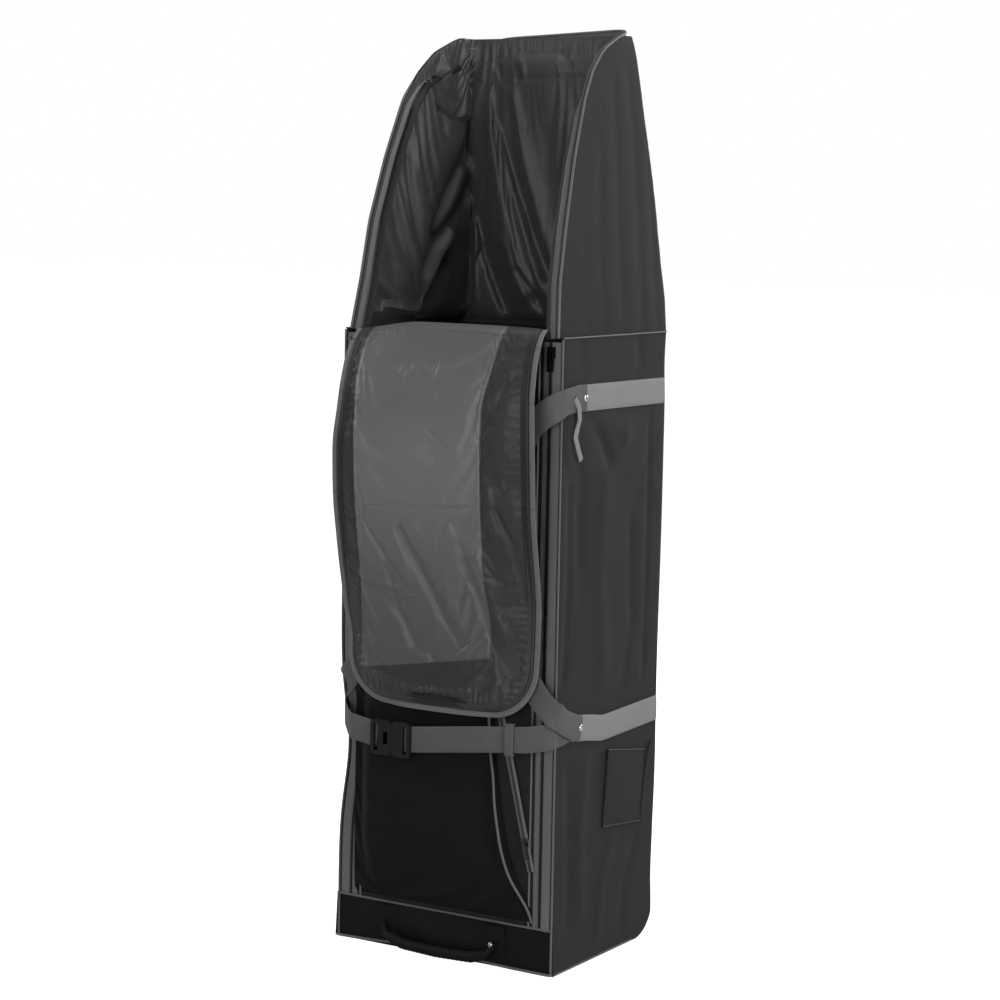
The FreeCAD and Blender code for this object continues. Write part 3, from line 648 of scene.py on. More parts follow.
@dataclass(frozen=True)
class Finish:
    """What all finishes share: a colour, how it varies, and the shader's constants."""

    name: str
    color: tuple[float, float, float]
    roughness: float = 0.7
    sheen: float = 0.0
    metallic: float = 0.0
    specular: float = 0.5
    coat: float = 0.0
    variation: float = 0.25
    patch_scale: float = 6.0
    lint: float = 0.05
    bump: float = 0.3

    def height(self, bench: Bench, uv: Socket, place: Socket) -> Relief:
        """Height of the surface's grain, and a mask where painted shade darkens its gaps."""
        grain = bench.add("ShaderNodeTexNoise", {"Vector": place, "Scale": 900.0, "Detail": 3.0})
        return grain.outputs[0], None

    def bump_distance(self) -> float:
        """Depth of the grain, in metres."""
        return 0.0002

    def build(self) -> bpy.types.Material:
        """The material, with its colour, roughness and bump worked out by nodes."""
        material = bpy.data.materials.new(self.name)
        material.use_nodes = True
        bench = Bench(material.node_tree)
        coords = bench.add("ShaderNodeTexCoord")
        place = coords.outputs["Object"]
        uv = coords.outputs["UV"]
        wear = bench.shared(Effect.WEAR, place, Scale=self.patch_scale)
        height, gap_shade = self.height(bench, uv, place)
        low = tuple(c * (1 - self.variation) for c in self.color) + (1,)
        high = tuple(min(1, c * (1 + self.variation)) for c in self.color) + (1,)
        tone = bench.add("ShaderNodeMix", {0: wear.outputs["Patch"], 6: low, 7: high}, data_type="RGBA")
        pale = tuple(min(1, c * 2.2 + 0.03) for c in self.color) + (1,)
        dust = bench.math("MULTIPLY", wear.outputs["Lint"], self.lint)
        tinted = bench.add("ShaderNodeMix", {0: dust, 6: tone.outputs[2], 7: pale}, data_type="RGBA")
        result = tinted.outputs[2]
        # painted shade: in the gaps between ribs the colour is darkened to about a third, standing in for
        # the shade there
        if gap_shade is not None:
            gap_shade_color = tuple(c * 0.35 for c in self.color) + (1,)
            result = bench.add("ShaderNodeMix", {0: gap_shade, 6: result, 7: gap_shade_color}, data_type="RGBA").outputs[2]
        rough = bench.add("ShaderNodeMapRange", {0: wear.outputs["Patch"], 3: self.roughness - 0.06,
                                                 4: self.roughness + 0.06})
        bump = bench.add("ShaderNodeBump", {"Height": height, "Strength": self.bump,
                                            "Distance": self.bump_distance()})
        shader = bench.add("ShaderNodeBsdfPrincipled", {
            "Base Color": result, "Roughness": rough.outputs[0], "Normal": bump.outputs[0],
            "Metallic": self.metallic, "Specular IOR Level": self.specular,
            "Sheen Weight": self.sheen, "Sheen Roughness": 0.5, "Coat Weight": self.coat,
            "Coat Roughness": 0.2})
        self.adjust(bench, shader, place)
        bench.add("ShaderNodeOutputMaterial", {"Surface": shader.outputs[0]})
        return material

    def adjust(self, bench: Bench, shader: bpy.types.Node, place: Socket) -> None:
        """Room for a finish to add to its shader."""


@dataclass(frozen=True)
class WovenFinish(Finish):
    """Plain-woven polyester."""

    thread: float = 0.0009

    def height(self, bench: Bench, uv: Socket, place: Socket) -> Relief:
        """Threads over and under each other."""
        weave = bench.shared(Effect.WEAVE, uv, Thread=self.thread)
        mixed = bench.math("MULTIPLY_ADD", weave.outputs["Slub"], 0.5)
        bench.tree.links.new(weave.outputs["Height"], mixed.node.inputs[2])
        return mixed, None

    def bump_distance(self) -> float:
        """A third of a thread."""
        return self.thread / 3


@dataclass(frozen=True)
class SatinFinish(Finish):
    """Glossy lining taffeta with a fine weave and small crumples."""

    crumple: float = 0.6
    crumple_scale: float = 16.0

    def height(self, bench: Bench, uv: Socket, place: Socket) -> Relief:
        """Wandering soft folds with a trace of the weave."""
        folds = bench.shared(Effect.SATIN, place, Scale=self.crumple_scale)
        weave = bench.shared(Effect.WEAVE, uv, Thread=TAFFETA_THREAD)
        mixed = bench.math("MULTIPLY_ADD", weave.outputs["Height"], 0.012)
        tall = bench.math("MULTIPLY", folds.outputs["Height"], self.crumple)
        bench.tree.links.new(tall, mixed.node.inputs[2])
        return mixed, None

    def bump_distance(self) -> float:
        """Depth of the crumples."""
        return 0.012


@dataclass(frozen=True)
class QuiltedFinish(SatinFinish):
    """Taffeta that is lighter where the mesh's "foam" attribute is one, with a painted highlight there:
    brightest at the height middle, with painted shade darkening it above and below.
    """

    field: tuple[float, float, float] = (0.08, 0.08, 0.082)
    # middle is the height in metres where the painted highlight on the foam field is brightest; span is how
    # soon it fades
    middle: float = 0.73
    span: float = 0.16

    def adjust(self, bench: Bench, shader: bpy.types.Node, place: Socket) -> None:
        """Mixes the field's colour in, as a painted highlight that is brightest at the height middle and
        painted shade that darkens it above and below.
        """
        foam = bench.add("ShaderNodeAttribute", attribute_name="foam")
        sharp = bench.add("ShaderNodeMapRange", {0: foam.outputs["Fac"], 1: 0.3, 2: 0.7})
        plain = shader.inputs["Base Color"].links[0].from_socket
        level = bench.add("ShaderNodeSeparateXYZ", {0: place}).outputs["Z"]
        away = bench.math("DIVIDE", bench.math("SUBTRACT", level, self.middle), self.span)
        # painted light: the foam field's colour runs from a painted shade at half its tone, far above and
        # below the height middle, to a painted highlight at 1.6 times its tone at that height
        painted_highlight = bench.math("DIVIDE", 1.0, bench.math("ADD", bench.math("MULTIPLY", away, away), 1.0))
        painted_shade_tone = tuple(c * 0.5 for c in self.field) + (1,)
        bright = tuple(c * 1.6 for c in self.field) + (1,)
        field_with_painted_light = bench.add("ShaderNodeMix", {0: painted_highlight, 6: painted_shade_tone, 7: bright}, data_type="RGBA").outputs[2]
        mixed = bench.add("ShaderNodeMix", {0: sharp.outputs[0], 6: plain, 7: field_with_painted_light}, data_type="RGBA")
        bench.tree.links.new(mixed.outputs[2], shader.inputs["Base Color"])


@dataclass(frozen=True)
class WebbingFinish(Finish):
    """Woven strap with ribs along it."""

    rib: float = 0.0014
    pick: float = 0.0012

    def height(self, bench: Bench, uv: Socket, place: Socket) -> Relief:
        """Ribs and picks, with the gaps between the ribs as the mask of painted shade."""
        ribs = bench.shared(Effect.RIB, uv, Rib=self.rib, Pick=self.pick)
        return ribs.outputs["Height"], ribs.outputs["GapShade"]

    def bump_distance(self) -> float:
        """A third of a rib."""
        return self.rib / 3


class Look(Enum):
    """Every finish on the case. The value is the finish."""

    SHELL = WovenFinish("shell_polyester", (0.018, 0.018, 0.0185), roughness=0.8, sheen=0.03, bump=0.6,
                        specular=0.22, variation=0.14)
    # painted shade: a darker copy of the shell polyester, used on the front pocket, where the front gets
    # less light than the sides
    SHADED_FRONT_SHELL = WovenFinish("front_polyester_painted_shade", (0.006, 0.006, 0.0062), roughness=0.75, sheen=0.01,
                              bump=0.6, specular=0.12, variation=0.14)
    SHELL_DARK = WovenFinish("base_polyester", (0.004, 0.004, 0.0042), roughness=0.6, sheen=0.005, bump=0.6,
                             thread=0.0012, specular=0.15)
    LINING = SatinFinish("lining_taffeta", (0.046, 0.046, 0.047), roughness=0.45, sheen=0.05, specular=0.5,
                         crumple=0.3, variation=0.1, bump=0.5)
    QUILTED = QuiltedFinish("flap_taffeta", (0.02, 0.02, 0.021), roughness=0.42, sheen=0.05, specular=0.45,
                            crumple=0.28, crumple_scale=14.0, variation=0.12, bump=0.4,
                            field=(0.088, 0.088, 0.09))
    WEBBING = WebbingFinish("grey_webbing", (0.25, 0.25, 0.252), roughness=0.7, sheen=0.05, bump=0.5,
                            lint=0.2, specular=0.2, variation=0.12)
    # painted shade: a darker copy of the grey webbing, used on the front strap, the carry handles and the
    # keeper loop, where the front gets less light than the sides
    SHADED_FRONT_WEBBING = WebbingFinish("front_webbing_painted_shade", (0.1, 0.1, 0.102), roughness=0.7, sheen=0.05,
                                  bump=0.5, lint=0.2, specular=0.2, variation=0.12)
    DARK_WEBBING = WebbingFinish("black_webbing", (0.006, 0.006, 0.0062), roughness=0.6, sheen=0.02,
                                 bump=0.8, specular=0.25)
    TAPE = WebbingFinish("zip_tape", (0.15, 0.15, 0.152), roughness=0.65, sheen=0.04, bump=0.6,
                         rib=0.0012, pick=0.0009, specular=0.25)
    COIL = Finish("zip_coil", (0.008, 0.008, 0.008), roughness=0.35, bump=0.1)
    PIPING = WebbingFinish("piping", (0.12, 0.12, 0.122), roughness=0.55, sheen=0.05, bump=0.5,
                           rib=0.0012, pick=0.001, specular=0.3)
    DARK_PIPING = WebbingFinish("dark_piping", (0.01, 0.01, 0.0105), roughness=0.5, sheen=0.03, bump=0.5,
                                rib=0.0012, pick=0.001, specular=0.3)
    PALE_THREAD = Finish("pale_thread", (0.2, 0.2, 0.2), roughness=0.6, bump=0.1)
    MOULDED = Finish("moulded_plastic", (0.004, 0.004, 0.0042), roughness=0.45, specular=0.3,
                     bump=0.35, variation=0.15)
    BOARD = Finish("base_board_plastic", (0.05, 0.05, 0.05), roughness=0.55, bump=0.2)
    TYRE = Finish("wheel_rubber", (0.01, 0.01, 0.01), roughness=0.62, bump=0.4, lint=0.4)
    HUB = Finish("wheel_hub_plastic", (0.09, 0.09, 0.092), roughness=0.4, bump=0.2, lint=0.2)
    STEEL = Finish("plated_steel", (0.42, 0.42, 0.43), roughness=0.3, metallic=1.0, bump=0.15)
    RIVET = Finish("rivet_metal", (0.72, 0.72, 0.73), roughness=0.22, metallic=1.0, bump=0.1)
    GUNMETAL = Finish("black_nickel", (0.05, 0.05, 0.052), roughness=0.25, metallic=1.0, bump=0.1)
    BRIGHT = Finish("bright_nickel", (0.75, 0.75, 0.76), roughness=0.2, metallic=1.0, bump=0.1)


_materials: dict[Look, bpy.types.Material] = {}


def dressed(look: Look) -> bpy.types.Material:
    """The material of one look, built the first time that it is asked for."""
    if look not in _materials:
        _materials[look] = look.value.build()
    return _materials[look]


# ---------------------------------------------------------------- pieces
def piece(name: str, patch: Patch, look: Look, body: Optional[str] = CASE,
          replaces: Sequence[str] = (), sharp: float = 40.0) -> bpy.types.Object:
    """Makes a mesh object from a patch and hands it to the frame.

    Args:
        name: the piece's name.
        patch: its points and faces, in metres.
        look: its finish.
        body: the body it rides on, or None to leave it on no body.
        replaces: CAD nodes that it stands for.
        sharp: edges that turn more than this many degrees stay sharp.

    Returns:
        The object.
    """
    mesh = bpy.data.meshes.new(name)
    faces = [f for block in patch.faces for f in block.tolist()]
    mesh.from_pydata(patch.points.tolist(), [], faces)
    layer = mesh.uv_layers.new(name="cloth")
    flat = np.concatenate([c.reshape(-1, 2) for c in patch.corners])
    layer.data.foreach_set("uv", flat.astype(np.float32).ravel())
    mesh.polygons.foreach_set("use_smooth", np.ones(len(mesh.polygons), bool))
    work = bmesh.new()
    work.from_mesh(mesh)
    bmesh.ops.recalc_face_normals(work, faces=work.faces)
    work.to_mesh(mesh)
    work.free()
    mesh.set_sharp_from_angle(angle=math.radians(sharp))
    mesh.materials.append(dressed(look))
    item = bpy.data.objects.new(name, mesh)
    bpy.context.scene.collection.objects.link(item)
    if replaces:
        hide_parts(*replaces)
    if body:
        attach(item, body)
    log.info("%s: %d points", name, len(patch.points))
    return item


def redress(node: str, look: Look) -> None:
    """Gives a CAD node that stays a finished material."""
    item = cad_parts[node]
    item.data.materials.clear()
    item.data.materials.append(dressed(look))


# ---------------------------------------------------------------- the case's walls
@dataclass
class Shell:
    """The box and the hood: outer walls, linings and the seams between them."""

    half_width: float = 184.5
    half_depth: float = 148.0
    puff: float = 11.0
    waist: float = 914.0
    corner: float = 7.0
    thick: float = 3.6
    wheel_rounding: float = 56.0
    side_share: float = 0.315
    rim: tuple = ((176, -148, 914), (169, -135, 990), (167, -118, 1071), (161, -88, 1165), (155, -52, 1250),
                  (150, -24, 1287), (146, 14, 1316), (142, 62, 1335), (138, 96, 1345), (122, 108, 1349),
                  (0, 110, 1349))
    back: tuple = ((914, 159, 184), (960, 157, 182), (1005, 151, 178), (1049, 145, 175), (1094, 140, 172),
                   (1138, 133, 169), (1181, 125, 166), (1224, 117, 162), (1267, 113, 157), (1309, 110, 151),
                   (1330, 110, 146), (1349, 111, 139))

    SIDE_FOLDS = fold_table(
        (-3.5, 11, -70, 800, -30, 765, -10, 735), (2.5, 14, -60, 790, 0, 790, 40, 770),
        (-3.0, 16, -100, 760, -85, 690, -90, 600), (2.5, 20, -20, 700, -30, 560, -10, 420),
        (-2.5, 9, -120, 700, -118, 560, -125, 430), (-2.0, 12, 60, 640, 70, 500, 50, 400),
        (3.0, 15, -60, 300, -75, 200, -70, 90), (-2.5, 12, -110, 300, -100, 180, -105, 70),
        (2.4, 14, 20, 170, -10, 110, -20, 40), (-2.0, 12, 90, 150, 60, 90, 50, 30),
        (-2.0, 8, 110, 790, 112, 600, 108, 400), (-2.0, 10, 70, 900, 80, 870, 60, 850))
    HOOD_FOLDS = fold_table(
        (-2.6, 8, -70, 1050, -75, 985, -70, 925), (-2.8, 8, -20, 1200, -28, 1060, -25, 925),
        (-2.6, 8, 30, 1270, 25, 1120, 28, 925), (-2.4, 8, 75, 1290, 80, 1100, 85, 925),
        (-2.2, 7, 115, 1180, 122, 1040, 125, 925), (2.2, 12, 0, 1250, 0, 1100, 2, 930),
        (2.2, 12, 52, 1290, 55, 1110, 57, 930), (2.0, 11, 100, 1220, 104, 1080, 106, 930))
    LINING_LEFT = fold_table(
        (-6, 4, 10, 1252, 51, 1235, 108, 1226), (9, 12, 30, 1300, 60, 1262, 100, 1236),
        (-6, 8, 0, 1285, 25, 1250, 40, 1215), (-15, 15, 122, 1230, 113, 1186, 60, 1126, 22, 1057),
        (-13, 12, 155, 1180, 115, 1112, 29, 1038, 1, 999),
        (12, 34, 60, 1200, 10, 1130, -40, 1040, -70, 960), (7, 10, 100, 1150, 70, 1110, 40, 1070),
        (-4, 12, -40, 1230, -75, 1100, -100, 960), (-14, 16, 60, 1010, 10, 950, -10, 926),
        (9, 11, 75, 1060, 20, 990, -20, 935))
    LINING_BACK = fold_table(
        (-10, 8, -149, 1334, -143, 1275, -143, 1150, -150, 1094, -165, 1038, -170, 944),
        (-3, 3.5, -130, 1281, -82, 1282, -56, 1289, 45, 1292, 120, 1290),
        (-18, 11, -104, 1270, -81, 1224, -62, 1151, -34, 1063, -7, 994),
        (8, 18, -75, 1260, -40, 1160, -8, 1063, 22, 985),
        (9, 14, -120, 1240, -105, 1160, -85, 1060, -50, 975),
        (-16, 13, -139, 1087, -120, 1020, -92, 947), (9, 8, -150, 1076, -158, 1019, -160, 963),
        (5, 9, -100, 1050, -62, 967), (-7, 7, -67, 1003, -23, 950), (4, 8, -30, 1000, 10, 945),
        (-5, 6, -100, 1308, -87, 1286), (4, 7, -60, 1325, -52, 1300), (-6, 6, 27, 1332, 49, 1306),
        (-5, 16, 60, 1250, 50, 1120, 70, 980), (6, 18, 110, 1240, 95, 1080, 110, 960))

    def rim_path(self, count: int = 260) -> Array:
        """Whole rim from the right end over the top to the left end."""
        right = list(self.rim)
        left = [(-x, y, z) for x, y, z in reversed(right[:-1])]
        path = smooth_path(right + left, count, 12)
        path[:, 2] -= 0.011 * np.exp(-((path[:, 0] + 0.125) / 0.03) ** 2) * ramp(path[:, 2], 1.27, 1.33)
        path[:, 2] += 0.006 * path[:, 0] / 0.14 * ramp(path[:, 2], 1.25, 1.34)
        return path

    def rear_depth(self, z: Array) -> Array:
        """How far back the back panel lies: half the depth and the puff, less two narrow waists."""
        slim = 3.5 * np.exp(-((z - 0.87) / 0.04) ** 2) + 4 * np.exp(-((z - 0.4) / 0.15) ** 2)
        return (self.half_depth + self.puff * ramp(z, 0.03, 0.3) - slim) * MM

    def side_pull(self, z: Array) -> Array:
        """How far the lower strap pulls the front corner back at a height, in metres."""
        return 0.022 * np.exp(-((z - 0.295) / 0.085) ** 2)

    def section(self, half: Array, front: Array, rear: Array, count: int) -> Array:
        """Level outlines of a wall that goes round the back.

        Each outline runs from the front right corner back along the side, round a quarter
        circle, across the back and forward along the left side.

        Args:
            half: half width at each level, in metres.
            front: front end at each level.
            rear: back face at each level.
            count: points in each outline.

        Returns:
            levels x count x 2 places.
        """
        radius = self.corner * MM
        turn = np.linspace(0, np.pi / 2, 9)
        outlines = []
        side = np.linspace(0, 1, 40)[:, None]
        for h, f, r in zip(half, front, rear):
            start = np.array([[h, f]])
            bend = np.array([[h, r - radius]])
            straight = start + (bend - start) * side
            arc = np.stack([h - radius + radius * np.cos(turn), r - radius + radius * np.sin(turn)], axis=1)
            right = np.concatenate([straight[:-1], arc])
            left = right[::-1] * (-1, 1)
            outlines.append(resample(np.concatenate([right, left]), count))
        return np.array(outlines)

    def hood_levels(self, count: int) -> Array:
        """Heights of the hood's outlines, closer together towards the top."""
        t = np.linspace(0, 1, count)
        return (914 + (1345 - 914) * (1 - (1 - t) ** 1.7)) * MM

    def hood_surface(self, inset: float, rows: int = 90, cols: int = 200) -> Array:
        """The hood's wall, moved inwards by an inset in metres."""
        z = self.hood_levels(rows)
        rim = self.rim_path(600)[:300]
        order = np.argsort(rim[:, 2])
        front = np.interp(z, rim[order, 2], rim[order, 1])
        table = np.array(self.back) * MM
        rear = np.interp(z, table[:, 0], table[:, 1])
        half = np.interp(z, table[:, 0], table[:, 2])
        rim_half = np.interp(z, rim[order, 2], rim[order, 0])
        flat = self.section(half - inset, front, rear - inset, cols)
        lean = (rim_half - half)[:, None]
        share = np.clip((flat[..., 1] - front[:, None]) / np.maximum(rear - front, 1e-4)[:, None], 0, 1)
        x = flat[..., 0] + np.sign(flat[..., 0]) * lean * (1 - share) ** 1.5
        return np.stack([x, flat[..., 1], np.repeat(z[:, None], cols, 1)], axis=2)

    def build(self) -> None:
        """All the walls."""
        self.build_box()
        self.build_hood()
        self.build_front()
        self.build_pipings()

    def build_box(self) -> None:
        """Side and back panels below the waist, as three pieces that meet at the rear corners."""
        rows, cols = 150, 260
        z = np.linspace(1.5, self.waist, rows) * MM
        ones = np.ones(rows)
        level = z / (self.waist * MM)
        half = (self.half_width + 4.0 * (1 - level) ** 5 - 1.0 * np.sin(np.pi * level)) * MM
        front = -(self.half_depth - 1) * MM * ones
        rear = self.rear_depth(z)
        flat = self.section(half, front, rear, cols)
        points = np.stack([flat[..., 0], flat[..., 1], np.repeat(z[:, None], cols, 1)], axis=2)
        run = np.linspace(0, 1, cols)[None] * 0.95 * np.ones((rows, 1))
        long_folds = Creases(22, 1.3 * MM, (0.01, 0.024), (0.1, 0.3), (80, 100), 5)
        small = Creases(60, 0.7 * MM, (0.005, 0.012), (0.02, 0.09), (45, 135), 8)
        height = long_folds.height(run, points[..., 2]) + small.height(run, points[..., 2])
        sides = np.abs(points[..., 0]) > 0.17
        height += 0.9 * folded(self.SIDE_FOLDS, points[..., 1], points[..., 2]) * sides
        level = points[..., 2]
        tie = np.exp(-((level - 0.348) / 0.05) ** 2) + np.exp(-((level - 0.827) / 0.04) ** 2)
        calm = np.clip(1 - tie, 0.1, 1) * ramp(points[..., 2], 0.0, 0.05)
        height = np.clip(height * calm - 1.6 * MM * tie, -4 * MM, 3.0 * MM)
        push = normals_of(points)
        outward = np.sign((push[..., 0] * points[..., 0] + push[..., 1] * points[..., 1]).mean())
        outer = points + push * outward * height[..., None]
        pull = self.side_pull(outer[..., 2]) * ramp(-outer[..., 1], 0.05, 0.148)
        outer[..., 1] += pull * (outer[..., 0] < 0)
        inner = outer - push * outward * self.thick * MM
        # rear bottom corners are rounded up over the wheels
        for grid in (outer, inner):
            radius = self.wheel_rounding * MM
            back = np.clip((grid[..., 1] - (self.half_depth * MM - radius)) / radius, 0, 1)
            floor = radius * (1 - np.sqrt(1 - back ** 2)) * (np.abs(grid[..., 0]) > 0.12)
            level = grid[..., 2]
            grid[..., 2] = floor + level * (1 - floor / (self.waist * MM))
        middle_right = int(cols * self.side_share)
        middle_left = cols - middle_right
        spans = (("side_shell_right", 0, middle_right + 1, "side_panel_right"),
                 ("back_shell", middle_right, middle_left + 1, "back_panel"),
                 ("side_shell_left", middle_left, cols, "side_panel_left"))
        for name, first, last, node in spans:
            piece(name, slab(outer[:, first:last], inner[:, first:last]), Look.SHELL,
                  replaces=(node,))

    def build_hood(self) -> None:
        """Outer hood wall and its glossy lining."""
        outer = self.hood_surface(0.0)
        rows, cols = outer.shape[:2]
        run = np.linspace(0, 1, cols)[None] * 0.9 * np.ones((rows, 1))
        folds = Creases(20, 1.4 * MM, (0.006, 0.014), (0.1, 0.3), (80, 100), 21)
        calm = ramp(outer[..., 2], 0.914, 0.93)
        side = 0.22 * folded(self.HOOD_FOLDS, outer[..., 1], outer[..., 2])
        side = side * (np.abs(outer[..., 0]) > 0.125)
        push = unit(outer * (1, 1, 0) - np.array([0, 0.03, 0]))
        side *= ramp(outer[..., 1], outer[:, :1, 1], outer[:, :1, 1] + 0.02)
        outer = outer + push * ((folds.height(run, outer[..., 2]) + side) * calm)[..., None]
        inner = self.hood_surface(self.thick * MM)
        piece("hood_shell", slab(outer, inner), Look.SHELL,
              replaces=("hood_side_left", "hood_side_right", "hood_back", "hood_crown"))
        self.build_hood_lining()

    def build_hood_lining(self) -> None:
        """Loose lining that hangs in long folds inside the hood."""
        front = self.hood_surface(7.0 * MM, 120, 260)
        back = self.hood_surface(4.2 * MM, 120, 260)
        rows, cols = front.shape[:2]
        run = np.linspace(0, 1, cols)[None] * 0.9 * np.ones((rows, 1))
        x, y, z = front[..., 0], front[..., 1], front[..., 2]
        fine = Creases(60, 2.0 * MM, (0.004, 0.01), (0.03, 0.1), (55, 125), 37)
        corner_gap = np.hypot(np.abs(x) - 0.14, y - 0.10)
        gather = 2.2 * MM * np.sin(run * 420) * np.exp(-(corner_gap / 0.03) ** 2) * ramp(z, 1.24, 1.32)
        wall = ramp(np.abs(x) - np.abs(x).max(axis=1, keepdims=True), -0.018, -0.008)
        on_left = wall * (x < 0)
        on_back = ramp(y, 0.085, 0.1) * ramp(0.165 - np.abs(x), -0.01, 0.01)
        on_side = folded(self.LINING_LEFT, y, z)
        height = 15 * MM + on_side * on_left + on_side * on_left[:, ::-1]
        height = height + folded(self.LINING_BACK, x, z) * on_back + fine.height(run, z) + gather
        edge = ramp(run, 0, 0.05) * ramp(0.9 - run, 0, 0.05)
        edge = edge * ramp(-z, -1.345, -1.31) * ramp(z, 0.914, 0.945)
        height = np.clip(height * edge, 0, 42 * MM)
        inward = -unit(front * (1, 1, 0) - np.array([0, 0.03, 0]))
        front = front + inward * height[..., None]
        front = Settling(slack=0.05, weight=0.6, cap=0.009, bending=0.2).settle("hood_lining", front,
                                                                               held_border(front, 3, 4))
        lining = piece("hood_lining", slab(front, back), Look.LINING,
                       replaces=("hood_lining_left", "hood_lining_right", "hood_lining_back"))

    def build_front(self) -> None:
        """Front lid, the closed zip bands beside it and the kick panel below."""
        z = np.linspace(66, 910, 170) * MM
        x = np.linspace(-146, 146, 60) * MM
        gx, gz = np.meshgrid(x, z)
        folds = Creases(20, 1.6 * MM, (0.01, 0.02), (0.05, 0.2), (60, 120), 51)
        lid = np.stack([gx, -0.1478 - folds.height(gx, gz) * ramp(0.146 - np.abs(gx), 0, 0.02), gz], axis=2)
        piece("front_lid_shell", slab(lid, lid + (0, 0.003, 0)), Look.SHELL,
              replaces=("front_lid",))
        for side, sign in SIDES:
            path = smooth_path([(sign * 161, -147.6, 66), (sign * 161, -147.6, 908)], 160, 0)
            path[:, 1] += self.side_pull(path[:, 2]) * (sign < 0)
            across = np.tile([1.0, 0, 0], (len(path), 1))
            base = ribbon(path + (sign * 0.0025, 0.0012, 0), across, 45 * MM, 2.0 * MM, 13)
            piece("zip_band_shell_" + side, base, Look.SHELL,
                  replaces=("zip_band_" + side,))
            tape = ribbon(path + (sign * 0.0128, -0.0004, 0), across, 15 * MM, 2.0 * MM)
            tape.add(ribbon(path - (sign * 0.0035, 0, 0), across, 10 * MM, 1.4 * MM))
            tape.add(cord(path + (-sign * 0.0145, -0.0008, 0), 1.5 * MM, (0, 1, 0), 8))
            piece("zip_tape_" + side, tape, Look.TAPE)
            coil = zip_teeth(path + (sign * 0.0028, -0.0008, 0), across, width=3.2 * MM)
            piece("zip_coil_" + side, coil, Look.COIL,
                  replaces=("zip_coils",) if sign > 0 else ())
        self.build_kick_panel()

    def build_kick_panel(self) -> None:
        """Heavier fabric across the foot of the front, round both front corners."""
        z = np.linspace(1.5, 68, 22) * MM
        x = np.linspace(-1, 1, 110)
        gx, gz = np.meshgrid(x, z)
        gx = gx * (185 + 3.0 * (1 - gz / 0.068) * (gx < 0) + 3.5 * ramp(-gx, 0, 1)) * MM
        folds = Creases(16, 1.4 * MM, (0.008, 0.02), (0.03, 0.08), (0, 180), 61)
        y = -0.148 - folds.height(gx, gz) * ramp(0.181 - np.abs(gx), 0, 0.02)
        lift = np.exp(-((gx + 0.03) / 0.09) ** 2)
        gz = gz + 6 * MM * lift * (1 - gz / 0.068)
        y = y - 5 * MM * lift * np.sin(np.pi * np.clip(gz / 0.068, 0, 1))
        outer = np.stack([gx, y, gz], axis=2)
        piece("kick_panel_shell", slab(outer, outer + (0, 0.0035, 0)), Look.SHELL_DARK,
              replaces=("kick_panel",))

    def build_pipings(self) -> None:
        """Thin light cords along the seams."""
        path = smooth_path([(185, -148.5, 3), (184.5, -149, 912)], 120, 0)
        right = cord(path, 1.7 * MM, (1, 0, 0))
        mirrored_path = path * (-1, 1, 1)
        mirrored_path[:, 1] += self.side_pull(mirrored_path[:, 2])
        right.add(cord(mirrored_path, 1.7 * MM, (1, 0, 0)))
        seams = []
        for sign in (1, -1):
            rear = resample(np.array([(sign * 181.5, 147.5, 56), (sign * 181.5, 147.5, 912)]), 90) * MM
            rear[:, 1] = self.rear_depth(rear[:, 2]) - 2.4 * MM
            seams.append(cord(rear, 1.4 * MM, (1, 0, 0)))
        piece("rear_piping", joined(seams), Look.DARK_PIPING)
        piece("upright_piping", right, Look.PIPING, replaces=("corner_piping",))
        outline = self.section(*(np.array([place * MM]) for place in (184.8, -148, 159.2)), 160)[0]
        seam = np.concatenate([outline, np.full((160, 1), self.waist * MM)], axis=1)
        piece("waist_piping_cord", cord(seam, 1.1 * MM, (0, 0, 1)), Look.PIPING,
              replaces=("waist_piping",))
        floor = smooth_path([(187, 86, 3.2), (187, -146, 3.2), (184, -149.6, 3.2), (-188, -149.6, 3.2),
                             (-191, -146, 3.2), (-187, 86, 3.2)], 300, 3)
        floor[:, 2] += 6 * MM * np.exp(-((floor[:, 0] + 0.03) / 0.09) ** 2) * (floor[:, 1] < -0.148)
        piece("base_piping_cord", cord(floor, 1.9 * MM, (0, 0, 1)), Look.PIPING)
        kick = smooth_path([(-187, -149.5, 68), (184, -149.5, 68)], 120, 0)
        piece("kick_piping_cord", cord(kick, 1.7 * MM, (0, 0, 1)), Look.PIPING)


@dataclass
class HoodRim:
    """Zip tape, coil and bindings round the hood's opening."""

    shell: Shell

    def build(self) -> None:
        """Outer piping, tape, coil and inner binding, side by side along the rim."""
        path = self.shell.rim_path(420)
        along = unit(np.gradient(path, axis=0))
        centre = np.array([0, 0.06, 1.12])
        inward = centre - path
        inward[:, 1] = np.where(path[:, 2] > 1.33, inward[:, 1], 0.02)
        inward = inward - along * (inward * along).sum(axis=1, keepdims=True)
        inward = unit(inward * (1, 0.25, 1))
        rearward = unit(np.cross(inward, along))
        rearward *= np.sign(rearward[:, 1:2])
        tape_way = unit(inward + 0.35 * rearward)
        piping = cord(path, 1.9 * MM, (0, 1, 0.2))
        piece("rim_piping", piping, Look.PIPING)
        tape = ribbon(path + tape_way * 7.5 * MM, tape_way, 12.5 * MM, 1.6 * MM)
        tape.add(cord(path + tape_way * 13.6 * MM - rearward * 0.6 * MM, 1.0 * MM, (0, 1, 0.2), 8))
        piece("rim_zip_tape", tape, Look.TAPE)
        teeth = zip_teeth(path + tape_way * 16.2 * MM, tape_way, width=3.6 * MM)
        piece("rim_zip_coil", teeth, Look.COIL)
        binding = ribbon(path + tape_way * 22 * MM + rearward * 1 * MM, tape_way, 10 * MM, 2.6 * MM)
        piece("rim_binding", binding, Look.DARK_PIPING)


